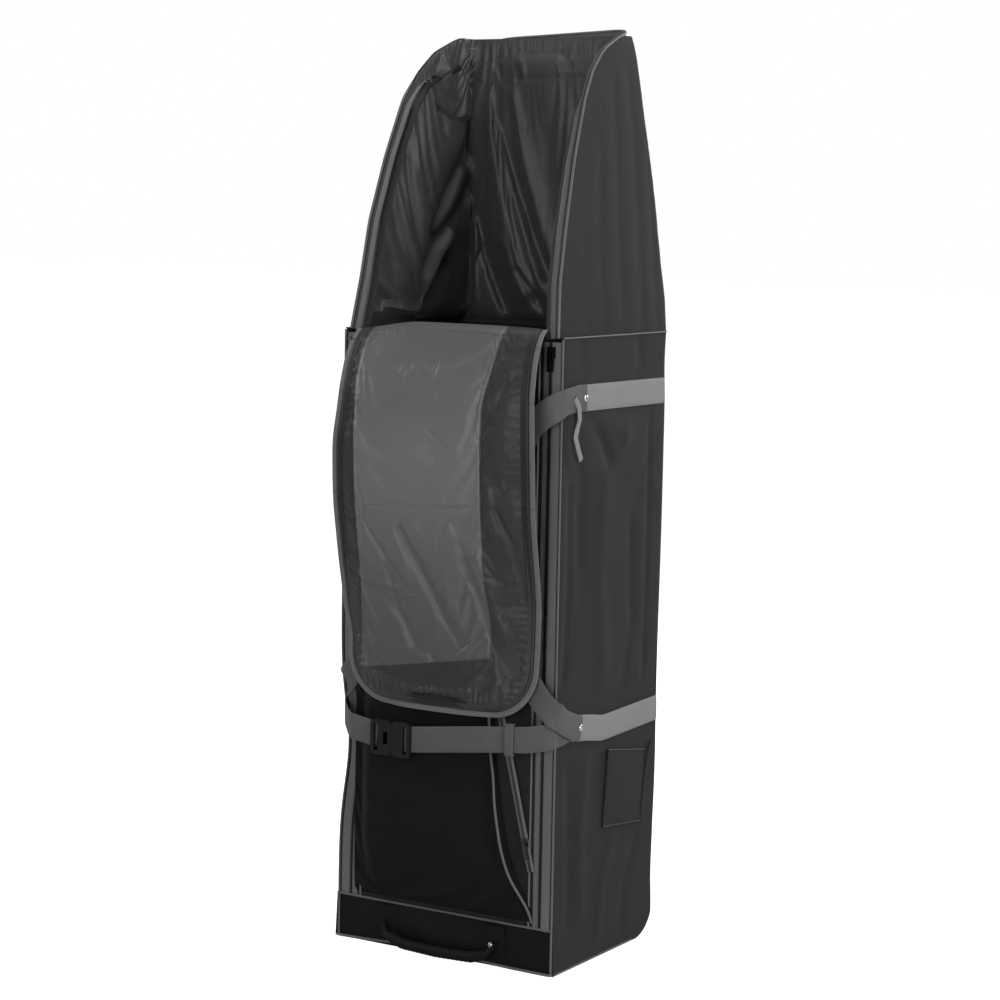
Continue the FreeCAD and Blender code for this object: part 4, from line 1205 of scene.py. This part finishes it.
# ---------------------------------------------------------------- the flap
@dataclass
class Flap:
    """Padded flap that hangs from the waist, in five parts cut across its length."""

    half: float = 163.0
    corner: float = 66.0
    length: float = 541.0
    middle: tuple = ((-152, 916), (-166, 910), (-188, 880), (-203, 830), (-207, 761), (-201, 663),
                     (-190, 591), (-184, 533), (-182, 475), (-183, 430), (-186, 381))
    edge: tuple = ((-152, 914), (-163, 906), (-182, 878), (-196, 830), (-200, 761), (-194, 663),
                   (-181, 591), (-170, 533), (-167, 475), (-169, 430), (-173, 381))
    joints: tuple = ((-154.0, 914.0), (-180.12, 879.84), (-197.15, 763.08), (-177.20, 593.24),
                     (-174.05, 480.29))
    foot: tuple = (-171.97, 381.31)
    bodies: tuple = ("flap_fold", "flap_upper", "flap_middle", "flap_lower", "flap_end")
    runs: tuple = (0.0, 43.0, 161.0, 332.0, 445.0)
    cuts: tuple = (0.0, 21.0, 102.0, 246.0, 388.0, 541.0)
    FOLDS = fold_table(
        (-4.2, 8, -52, 634, -17, 581, 17, 521, 51, 476), (2.4, 12, -30, 640, 10, 575, 45, 510),
        (-4.0, 6, 56, 594, 74, 554, 95, 494, 136, 440), (2.2, 9, 80, 600, 100, 540, 118, 490),
        (-3.0, 5, 111, 671, 136, 625, 150, 546), (-2.0, 8, 52, 618, 65, 571),
        (-1.2, 3.0, -111, 661, -57, 672, -15, 668, 75, 675), (-0.9, 3, 39, 648, 80, 643),
        (-0.6, 2.5, -113, 779, -75, 779), (1.3, 3.5, -127, 560, -67, 548, -33, 541),
        (-1.0, 3.5, -127, 552, -67, 540, -33, 532), (-0.8, 2.5, 4, 777, 33, 755),
        (-1.8, 9, -80, 600, -60, 520, -30, 470), (1.2, 4, -110, 470, -60, 460, -10, 452),
        (1.5, 7, -60, 640, -40, 560), (-1.5, 4, 0, 450, 60, 438, 100, 430),
        (1.6, 5, -100, 415, -20, 402, 60, 408), (1.5, 5, 100, 700, 110, 640))

    def surface(self, s: Array, a: Array, lift: float) -> Array:
        """Points of the hanging flap.

        The middle and edge profiles are blended by |a|^3, and the half width shrinks at the
        bottom as a quarter circle does.

        Args:
            s: distance down the flap from its fold, in millimetres.
            a: place across, from -1 to 1.
            lift: distance in front of the middle of its thickness, in millimetres.

        Returns:
            len(s) x len(a) x 3 points, in metres.
        """
        mid = smooth_path([(0, y, z) for y, z in self.middle], 300, 60)
        rim = smooth_path([(0, y, z) for y, z in self.edge], 300, 60)
        t = s / self.length
        grid = np.linspace(0, 1, 300)
        weight = (np.abs(a) ** 3)[None, :]
        y_mid, z_mid = np.interp(t, grid, mid[:, 1])[:, None], np.interp(t, grid, mid[:, 2])[:, None]
        y_rim, z_rim = np.interp(t, grid, rim[:, 1])[:, None], np.interp(t, grid, rim[:, 2])[:, None]
        y = y_mid * (1 - weight) + y_rim * weight
        z = z_mid * (1 - weight) + z_rim * weight
        z = z + 12 * MM * ramp(a, -1.05, -0.3)[None, :] * np.exp(-((s - 12) / 34) ** 2)[:, None]
        below = np.clip(s - (self.length - self.corner), 0, self.corner)
        top = ramp(s, -10, 190)
        taper = 5 * ramp(s, self.length * 0.62, self.length * 0.9)
        half = (self.half - 11 * (1 - top) - taper - self.corner
                + np.sqrt(np.maximum(self.corner ** 2 - below ** 2, 0)))
        left_in = 5 * np.exp(-((s - 110) / 60) ** 2) + 8 * ramp(s, 400, 465)
        x = (half[:, None] * a[None, :] + left_in[:, None] * np.maximum(-a, 0)[None, :]) * MM
        points = np.stack([x, y, z], axis=2)
        return points + front_normals(points) * lift * MM

    def blend(self, item: bpy.types.Object) -> None:
        """Bakes the transform of one of the five parts into its mesh."""
        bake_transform(item)

    def build(self) -> None:
        """Lining, foam field, bands, back cloth, zip tape, coil and piping of every part."""
        bend = self.length - self.corner * (1 - np.cos(np.linspace(0, np.pi / 2, 30)))
        full_s = np.unique(np.concatenate([np.linspace(0, self.length, 190), np.array(self.cuts), bend]))
        a = np.linspace(-1, 1, 170)
        front = self.surface(full_s, a, 2.0)
        wrinkles = self.wrinkles(front, full_s)
        out = front_normals(front)
        front = front + out * wrinkles[..., None]
        seam = np.abs(np.gradient(self.foam_mask(front), axis=1)) > 0.1
        pins = np.maximum(held_border(front, 7, 7), 0.35 * seam)
        cloth = Settling(slack=0.012, pressure=0.15, weight=0.02, cap=0.002, bending=0.4)
        front = cloth.settle("flap", front, pins)
        sunk = ((front - self.surface(full_s, a, 0.9)) * out).sum(axis=2, keepdims=True)
        front = front + out * np.maximum(0, -sunk)
        rear = self.surface(full_s, a, -2.0)
        foam = self.foam_mask(front)
        rear = rear - out * (foam * 2.0 * MM)[..., None]
        for index in range(5):
            first, last = self.cuts[index] - 1e-6, self.cuts[index + 1] + 1e-6
            rows = np.where((full_s >= first) & (full_s <= last))[0]
            self.part(index, front[rows], rear[rows])
        self.border(full_s)

    def foam_mask(self, points: Array) -> Array:
        """One over the foam field, fading to nothing in the unpadded bands."""
        x = points[..., 0]
        z = points[..., 2]
        right = 0.086 + 0.012 * ramp(z, 0.8, 0.9) + 0.008 * ramp(-z, -0.6, -0.48)
        low = 0.424 + 0.16 * (x + 0.1)
        return ramp(x, -0.132, -0.126) * ramp(right - x, -0.003, 0.003) * ramp(z - low, 0, 0.006)

    def wrinkles(self, points: Array, s: Array) -> Array:
        """Height of the lining over its plain shape."""
        x, z = points[..., 0], points[..., 2]
        field_mask = self.foam_mask(points)
        fine = Creases(40, 0.9 * MM, (0.004, 0.008), (0.02, 0.06), (-35, 40), 73, (0.0, 0.0), (1.0, 0.5))
        upper = Creases(14, 0.6 * MM, (0.008, 0.02), (0.05, 0.12), (-20, 20), 79, (0.0, 0.4), (1.0, 1.0))
        side_gap = np.abs(np.linspace(1, -1, x.shape[1]))[None, :]
        side_gap = (1 - side_gap) * np.abs(x).max(axis=1)[:, None]
        low_gap = (self.length - s)[:, None] * MM * np.ones_like(x)
        beat = np.sin(z * 520 + 2.5 * np.sin(z * 61)) * np.exp(-(side_gap / 0.017) ** 2)
        beat += np.sin(x * 560 + 2.5 * np.sin(x * 83)) * np.exp(-(low_gap / 0.02) ** 2)
        lower = ramp(-z, -0.62, -0.5) * 0.8 + 0.25
        height = 1.5 * folded(self.FOLDS, x, z) + fine.height(x, z) + upper.height(x, z)
        height = height + 1.7 * MM * beat * lower
        rim = np.abs(np.linspace(-1, 1, x.shape[1]))[None, :]
        calm = ramp(1 - rim, 0.06, 0.1) * ramp(self.length - s, 10, 18)[:, None] * ramp(s, 0, 20)[:, None]
        return height * calm + 2.2 * MM * field_mask * calm

    def part(self, index: int, front: Array, rear: Array) -> None:
        """One part's lining, with its foam field marked, and its back cloth."""
        name = self.bodies[index]
        middle = (front + rear) / 2
        body = piece("lining_" + name, slab(front, middle), Look.QUILTED, None, (name,))
        self.mark_field(body)
        self.blend(body)
        back = piece("back_cloth_" + name, slab(middle, rear), Look.SHELL, None)
        self.blend(back)

    def mark_field(self, item: bpy.types.Object) -> None:
        """Stores where the foam lies, for the finish to lighten."""
        points = np.zeros(len(item.data.vertices) * 3)
        item.data.vertices.foreach_get("co", points)
        marks = item.data.attributes.new("foam", "FLOAT", "POINT")
        marks.data.foreach_set("value", self.foam_mask(points.reshape(-1, 3)).astype(np.float32))

    def border_path(self, full_s: Array, inset: float, lift: float) -> tuple[Array, Array]:
        """Path along the flap's free edge, and the way towards its middle."""
        a = np.linspace(-1, 1, 240)
        grid = self.surface(full_s, a, lift)
        edge = np.concatenate([grid[:, -1], grid[-1, -2:0:-1], grid[::-1, 0]])
        edge = resample(edge, 760)
        along = unit(np.gradient(edge, axis=0))
        facing = np.array([0, -1.0, 0])
        inward = unit(np.cross(along, np.tile(facing, (len(edge), 1))))
        centre = np.array([0, -0.18, 0.64])
        flip = np.sign(((centre - edge) * inward).sum(axis=1, keepdims=True))
        inward = inward * flip
        return edge + inward * inset * MM, inward

    def border(self, full_s: Array) -> None:
        """Zip tape, coil and piping round the free edge, cut where the parts are cut."""
        path, inward = self.border_path(full_s, 0.0, 0.0)
        level = smooth_path([(0, y, z) for y, z in self.edge], 300, 60)
        s_of_z = np.interp(path[:, 2], level[::-1, 2], np.linspace(self.length, 0, 300))
        for index in range(5):
            low, high = self.cuts[index], self.cuts[index + 1]
            inside = (s_of_z >= low - 2) & (s_of_z <= high + 2)
            runs = np.split(np.where(inside)[0], np.where(np.diff(np.where(inside)[0]) > 1)[0] + 1)
            tapes, coils, pipes = [], [], []
            for run in runs:
                if len(run) < SHORTEST_RUN:
                    continue
                p, w = path[run], inward[run]
                tapes.append(ribbon(p - w * 4.5 * MM, w, 10 * MM, 1.6 * MM))
                coils.append(zip_teeth(p + w * 0.8 * MM + (0, -0.0012, 0), w, width=3.2 * MM))
                pipes.append(cord(p + w * 10.5 * MM + (0, -0.0028, 0), 1.3 * MM, (0, 1, 0), 8))
                pipes.append(ribbon(p + w * 5.8 * MM + (0, -0.0024, 0), w, 7.5 * MM, 1.6 * MM))
            for label, patches, look, slot in (("zip_tape_", tapes, Look.TAPE, "zip_tape"),
                                               ("zip_coil_", coils, Look.COIL, "zip_coil"),
                                               ("piping_", pipes, Look.DARK_PIPING, "lining")):
                self.blend(piece(label + self.bodies[index], joined(patches), look, None))


# ---------------------------------------------------------------- pocket on the lid
@dataclass
class ShoePocket:
    """Bulging pocket low on the front, with a zip at its right."""

    left: float = -157.0
    right_edge: tuple = ((640, 78), (520, 78), (395, 80), (336, 84), (250, 95), (178, 109), (131, 128),
                         (106, 146), (92, 152))
    depth: tuple = ((640, 4), (560, 5), (460, 9), (400, 16), (360, 25), (330, 24), (300, 26), (240, 30),
                    (170, 31), (120, 24), (92, 12), (76, 2))

    def build(self) -> None:
        """Front cloth, piping and zip."""
        rows, cols = 200, 120
        z = np.linspace(640, 76, rows)
        edge = np.array(self.right_edge, float)[::-1]
        right = np.interp(z, edge[:, 0], edge[:, 1])
        table = np.array(self.depth, float)[::-1]
        depth = np.interp(z, table[:, 0], table[:, 1])
        for _ in range(40):
            right[1:-1] = 0.5 * right[1:-1] + 0.25 * (right[:-2] + right[2:])
            depth[1:-1] = 0.5 * depth[1:-1] + 0.25 * (depth[:-2] + depth[2:])
        u = np.linspace(0, 1, cols)[None, :]
        x = (self.left + (right[:, None] - self.left) * u) * MM
        crown = (1 - (1 - ramp(u, 0, 0.16)) * 0.9) * (1 - 0.35 * ramp(u, 0.8, 1.0))
        gz = np.repeat(z[:, None], cols, 1) * MM
        folds = Creases(18, 2.2 * MM, (0.012, 0.03), (0.05, 0.16), (-30, 30), 81, (0, 0.0), (1, 0.5))
        small = Creases(26, 1.2 * MM, (0.006, 0.012), (0.02, 0.06), (60, 120), 83, (0, 0.3), (1, 0.6))
        bulge = depth[:, None] * MM * crown
        height = (folds.height(x, gz) + small.height(x, gz)) * ramp(bulge, 0.004, 0.016)
        y = -0.1478 - bulge - height
        front = np.stack([x, y, gz], axis=2)
        front = Settling(slack=0.03, weight=0.5, cap=0.005, bending=0.5).settle("pocket", front,
                                                                              held_border(front, 2, 2))
        back = np.stack([x, np.full_like(y, -0.1472), gz], axis=2)
        body = piece("pocket_cloth", slab(front, back), Look.SHADED_FRONT_SHELL,
                     replaces=("shoe_pocket",))
        rim = front[:, -1] + (0.0006, -0.0006, 0)
        piece("pocket_piping", cord(rim, 1.9 * MM, (0, 1, 0)), Look.PIPING)
        path = smooth_path([(150, -150, 150), (143, -151.5, 182), (131, -152, 232), (120, -152, 278),
                            (109, -152, 322), (96, -151, 368), (86, -150, 410)], 120, 20)
        across = np.tile([1.0, 0, 0.25], (120, 1))
        tape = ribbon(path, across, 12 * MM, 1.4 * MM)
        piece("pocket_zip_tape", tape, Look.TAPE, replaces=("pocket_zip",))
        coil = zip_teeth(path + (0, -0.001, 0), across, width=3.4 * MM)
        piece("pocket_zip_coil", coil, Look.COIL)


# ---------------------------------------------------------------- straps, buckle, handles
@dataclass
class Straps:
    """All the webbing: side straps, the buckled front strap and the carry handles."""

    shell: Shell
    width: float = 38.0
    thick: float = 2.3

    def build(self) -> None:
        """Every strap, the carry handles and the rivets."""
        self.build_side_straps()
        self.build_front_strap()
        self.build_handles()
        self.build_rivets()

    def strap(self, name: str, points: Sequence, across: Sequence, look: Look,
              replaces: Sequence[str], body: str = CASE, width: Optional[float] = None,
              passes: int = 16) -> None:
        """One strap through stations; its width direction may change from station to station."""
        count = 150
        path = smooth_path(points, count, passes)
        table = np.asarray(across, float)
        if table.ndim == 1:
            wide = np.tile(table, (count, 1))
        else:
            spots = arc_length(np.asarray(points, float))
            wide = sampled(np.linspace(0, spots[-1], count), spots, table)
        strap_width = (width or self.width) * MM
        piece(name, ribbon(path, wide, strap_width, self.thick * MM, 11), look, body, replaces)

    def build_side_straps(self) -> None:
        """Webbing sewn across each side panel."""
        for side, sign in SIDES:
            upper = [(sign * 184.6, -108, 828), (sign * 184.4, 150, 827)]
            lower = [(sign * 184.6, -101, 355), (sign * 184.8, -60, 350), (sign * 184.8, -14, 342),
                     (sign * 184.6, 150, 347)]
            self.strap("upper_side_strap_" + side, upper, (0, 0, 1), Look.WEBBING,
                       ("upper_strap_" + side,))
            self.strap("lower_side_strap_" + side, lower, (0, 0, 1), Look.WEBBING,
                       ("lower_strap_" + side,))
            self.box_stitch(sign, -112, 828, side + "_upper")

    def box_stitch(self, sign: int, y: float, z: float, name: str) -> None:
        """Square of stitches with a cross in it."""
        h, w = 14.0, 26.0
        corners = [(y, z - h), (y + w, z - h), (y + w, z + h), (y, z + h), (y, z - h), (y + w, z + h),
                   (y + w, z - h), (y, z + h)]
        rows = []
        for (y0, z0), (y1, z1) in zip(corners[:-1], corners[1:]):
            x = sign * 188.2
            path = resample(np.array([(x, y0, z0), (x, y1, z1)]), 12) * MM
            rows.append(stitches(path, np.tile([float(sign), 0, 0], (12, 1))))
        piece("box_stitch_" + name, joined(rows), Look.PALE_THREAD)

    def build_front_strap(self) -> None:
        """Strap across the front, in two parts that meet at the buckle."""
        right = [(182.6, -101, 355), (185.6, -140, 353), (185.2, -152, 352.5), (178, -160, 350),
                 (150, -169, 345), (85, -181, 340), (-36, -182.8, 325), (-52, -182.8, 324)]
        left = [(-185.4, -95, 355), (-185.8, -124, 348), (-184.4, -139, 345), (-175, -151, 341),
                (-160, -167, 336), (-145, -180, 332), (-95, -182.8, 325)]
        self.strap("front_strap_cloth_right", right, (0, 0, 1), Look.SHADED_FRONT_WEBBING,
                   ("front_strap_right",), passes=8)
        self.strap("front_strap_cloth_left", left, (0, 0, 1), Look.SHADED_FRONT_WEBBING,
                   ("front_strap_left",), passes=8)

    def build_handles(self) -> None:
        """Long carry handles, from the upper strap down the front to the lower strap."""
        stations = [((186.8, -84, 828), (0, 0, 1)), ((187, -108, 828), (0, 0, 1)),
                    ((189, -140, 826), (0, 0, 1)), ((188.6, -153, 823), (0, 0, 1)),
                    ((179, -165, 816), (-0.2, 0, 0.98)),
                    ((150, -168, 795), (-0.69, 0, 0.72)), ((128, -168, 755), (-0.94, 0, 0.34)),
                    ((120, -167, 700), (-1, 0, 0)), ((120, -161, 520), (-1, 0, 0)),
                    ((124, -160, 478), (-0.96, 0, -0.27)), ((137, -160, 444), (-0.87, 0, -0.5)),
                    ((153, -161.5, 421), (-0.77, 0, -0.64)), ((168, -165.5, 405), (-0.7, 0, -0.72)),
                    ((181, -166, 393), (-0.6, 0, -0.8)), ((189.6, -154, 382), (0, 0.3, -0.95)),
                    ((190, -138, 372), (0, 0.34, -0.94)), ((189, -118, 363), (0, 0.3, -0.95)),
                    ((187, -80, 351), (0, 0.24, -0.97))]
        for side, sign in SIDES:
            tuck = [max(0.0, min(1.0, (440 - z) / 50)) * (sign < 0) for (_, _, z), _ in stations]
            points = [(sign * (x - 3 * k), y + 21 * k, z) for ((x, y, z), _), k in zip(stations, tuck)]
            across = [(sign * ax, ay, az) for _, (ax, ay, az) in stations]
            self.strap("carry_webbing_" + side, points, across, Look.SHADED_FRONT_WEBBING,
                       ("carry_handle_" + side,), "carry_handle_" + side, passes=6)

    def build_rivets(self) -> None:
        """Domed rivet heads over the handles' ends, and the tail left hanging at the upper ones."""
        heads = []
        for name, sign in SIDES:
            heads += [dome((sign * 187.9, y, z), (sign, 0, 0), 5.0, 2.2)
                      for y, z in ((-88, 828), (-82, 353))]
            tail = [(sign * 189.4, -121, 830), (sign * 190, -110, 815), (sign * 189.6, -107, 799),
                    (sign * 188.6, -112, 785), (sign * 189.6, -118, 774), (sign * 191, -112, 757),
                    (sign * 189.8, -101, 741)]
            self.strap("handle_tail_" + name, tail, (0, 1, 0.2), Look.WEBBING, (),
                       "carry_handle_" + name, width=10, passes=3)
        piece("rivet_heads", joined(heads), Look.RIVET, replaces=("rivets",))
        loop = [(125, -170.5, 321), (125.6, -177.6, 321), (125.6, -178.8, 343), (125.6, -177.6, 365),
                (125, -170.5, 365)]
        self.strap("keeper_loop", loop, (0.983, 0.18, 0), Look.SHADED_FRONT_WEBBING,
                   ("strap_keeper",), "strap_keeper", width=14, passes=2)


@dataclass
class Fittings:
    """Tag pocket and foot handle."""

    tag_corners: tuple = ((2, 307), (112, 289), (106, 182), (-10, 194))

    def build(self) -> None:
        """Both of them."""
        self.build_tag_pocket()
        self.build_foot_handle()

    def build_tag_pocket(self) -> None:
        """Flat sewn pocket: a four-cornered sheet, puffed by sine over sine, with bound edges."""
        u, v = np.meshgrid(np.linspace(0, 1, 40), np.linspace(0, 1, 40))
        c = np.array(self.tag_corners, float)
        flat = ((c[0] * (1 - u)[..., None] + c[1] * u[..., None]) * (1 - v)[..., None]
                + (c[3] * (1 - u)[..., None] + c[2] * u[..., None]) * v[..., None])
        hem = 0.8 * np.exp(-((v - 0.78) / 0.02) ** 2)
        puff = 187.2 + 2.2 * np.sin(np.pi * u) ** 0.5 * np.sin(np.pi * v) ** 0.5 - hem
        outer = np.stack([puff, flat[..., 0], flat[..., 1]], axis=2) * MM
        inner = np.stack([np.full_like(puff, 184.0), flat[..., 0], flat[..., 1]], axis=2) * MM
        piece("tag_pocket_cloth", slab(outer, inner), Look.SHELL, replaces=("tag_pocket",))
        rim = np.concatenate([outer[0], outer[1:, -1], outer[-1, -2::-1], outer[-2:0:-1, 0]])
        binding = cord(resample(np.concatenate([rim, rim[:1]]), 240), 1.2 * MM, (1, 0, 0), 8)
        piece("tag_pocket_binding", binding, Look.DARK_PIPING)
        band = smooth_path([(187.5, 133, 300), (188, 122, 282), (188.4, 112, 240), (188, 105, 198)], 60, 2)
        loop = ribbon(band, np.tile([0.0, 1, 0.2], (60, 1)), 7 * MM, 1.6 * MM)
        piece("tag_pocket_elastic", loop, Look.DARK_WEBBING)

    def build_foot_handle(self) -> None:
        """Padded grip at the foot, thick in its middle, and a rivet at its right end."""
        path = smooth_path([(-102, -155, 37), (-93, -158.5, 21), (-60, -162, 12.5), (0, -162.5, 10.5),
                            (60, -162, 12.5), (85, -158.5, 21), (94, -155, 37)], 120, 4)
        place = np.linspace(-1, 1, 120)
        radius = (4.2 + 3.8 * ramp(1 - np.abs(place), 0.12, 0.32) + 0.25 * np.sin(place * 90)) * MM
        grip = cord(path, radius, (0, 1, 0), 18)
        piece("foot_grip", grip, Look.SHELL_DARK, "base_handle", ("base_handle",))
        rivet = dome((89, -158.8, 35), (0, -1, 0), 4.0, 2.0)
        piece("foot_rivet", rivet, Look.STEEL, "base_handle")


class FrameNodes:
    """CAD nodes that keep their shape and get their finish."""

    LOOKS = {
        Look.SHELL_DARK: ("base_tray", "handle_patches"),
        Look.BOARD: ("base_board",),
        Look.MOULDED: ("rear_kick_plate", "skid_feet", "wheel_housing_left", "wheel_housing_right",
                       "buckle_socket", "buckle_plug"),
        Look.STEEL: ("plate_screws", "axle_bolts", "bearings_left", "bearings_right"),
        Look.TYRE: ("wheel_left", "wheel_right"),
        Look.HUB: ("hub_left", "hub_right"),
        Look.GUNMETAL: ("slider_left", "slider_right", "pull_right", "pocket_slider"),
        Look.BRIGHT: ("pull_left",),
        Look.DARK_WEBBING: ("tow_handle", "tow_patch"),
    }

    def build(self) -> None:
        """Dresses each of them."""
        for look, nodes in self.LOOKS.items():
            for node in nodes:
                redress(node, look)


# ---------------------------------------------------------------- stage
@dataclass
class Studio:
    """Pale floor, soft lights and the camera."""

    place: tuple = (2.037, -3.307, 1.105)
    turn: float = 31.71
    pitch: float = 6.52
    roll: float = 1.07
    lens: float = 94.72
    ambient: float = 0.12
    LIGHTS = (  # name, place, target, size, power
        ("side", (3.6, -0.9, 1.9), (0.1, 0, 0.75), 2.2, 95),
        ("front", (0.5, -3.4, 1.25), (0, -0.1, 0.75), 1.5, 34),
        ("left", (-3.4, -0.6, 1.8), (0, 0, 0.7), 1.8, 44),
        ("rear", (0.6, 3.6, 2.0), (0, 0, 0.7), 2.0, 85),
        ("top", (0.2, -0.4, 4.2), (0, 0, 0), 2.6, 60))

    def build(self) -> None:
        """Everything that isn't the object."""
        self.build_floor()
        self.build_lights()
        self.build_camera()

    def build_floor(self) -> None:
        """Wide pale floor."""
        mesh = bpy.data.meshes.new("floor")
        mesh.from_pydata([(-30, -30, 0), (30, -30, 0), (30, 30, 0), (-30, 30, 0)], [], [(0, 1, 2, 3)])
        material = bpy.data.materials.new("floor_paint")
        material.use_nodes = True
        bench = Bench(material.node_tree)
        seen = bench.add("ShaderNodeLightPath").outputs["Is Camera Ray"]
        shader = bench.add("ShaderNodeBsdfPrincipled", {
            "Base Color": (0.55, 0.55, 0.55, 1), "Roughness": 0.8, "Specular IOR Level": 0.1,
            "Emission Color": (1, 1, 1, 1), "Emission Strength": seen})
        bench.add("ShaderNodeOutputMaterial", {"Surface": shader.outputs[0]})
        mesh.materials.append(material)
        floor = bpy.data.objects.new("floor", mesh)
        floor.location.z = -0.0004
        bpy.context.scene.collection.objects.link(floor)

    def area(self, name: str, place: Sequence[float], target: Sequence[float], size: float,
             power: float) -> None:
        """Square area light that faces a target."""
        data = bpy.data.lights.new(name, "AREA")
        data.size = size
        data.energy = power
        lamp = bpy.data.objects.new(name, data)
        lamp.location = place
        way = Vector(target) - Vector(place)
        lamp.rotation_euler = way.to_track_quat("-Z", "Y").to_euler()
        bpy.context.scene.collection.objects.link(lamp)

    def build_lights(self) -> None:
        """World that is white to the camera and dim to the rest, and the square lights."""
        world = bpy.data.worlds.new("studio")
        world.use_nodes = True
        bench = Bench(world.node_tree)
        seen = bench.add("ShaderNodeLightPath").outputs["Is Camera Ray"]
        strength = bench.add("ShaderNodeMapRange", {0: seen, 3: self.ambient, 4: 1.0})
        glow = bench.add("ShaderNodeBackground", {"Color": (1, 1, 1, 1), "Strength": strength.outputs[0]})
        bench.add("ShaderNodeOutputWorld", {"Surface": glow.outputs[0]})
        bpy.context.scene.world = world
        bpy.context.scene.view_settings.view_transform = "Standard"
        for row in self.LIGHTS:
            self.area(*row)

    def build_camera(self) -> None:
        """Camera turned, pitched and rolled about its own axes."""
        a, p, r = (math.radians(v) for v in (self.turn, self.pitch, self.roll))
        right = Vector((math.cos(a), math.sin(a), 0))
        ahead = Vector((-math.sin(a) * math.cos(p), math.cos(a) * math.cos(p), -math.sin(p)))
        up = right.cross(ahead)
        right_rolled = right * math.cos(r) + up * math.sin(r)
        up_rolled = up * math.cos(r) - right * math.sin(r)
        data = bpy.data.cameras.new("camera")
        data.lens = self.lens
        data.sensor_width = 36
        item = bpy.data.objects.new("camera", data)
        turn = Matrix((right_rolled, up_rolled, -ahead)).transposed().to_4x4()
        item.matrix_world = Matrix.Translation(self.place) @ turn
        bpy.context.scene.collection.objects.link(item)
        bpy.context.scene.camera = item


def main() -> None:
    """Builds the stage and every part of the case."""
    Studio().build()
    shell = Shell()
    shell.build()
    HoodRim(shell).build()
    Flap().build()
    ShoePocket().build()
    Straps(shell).build()
    Fittings().build()
    FrameNodes().build()
    bpy.context.view_layer.update()


if __name__ == "__main__":
    main()
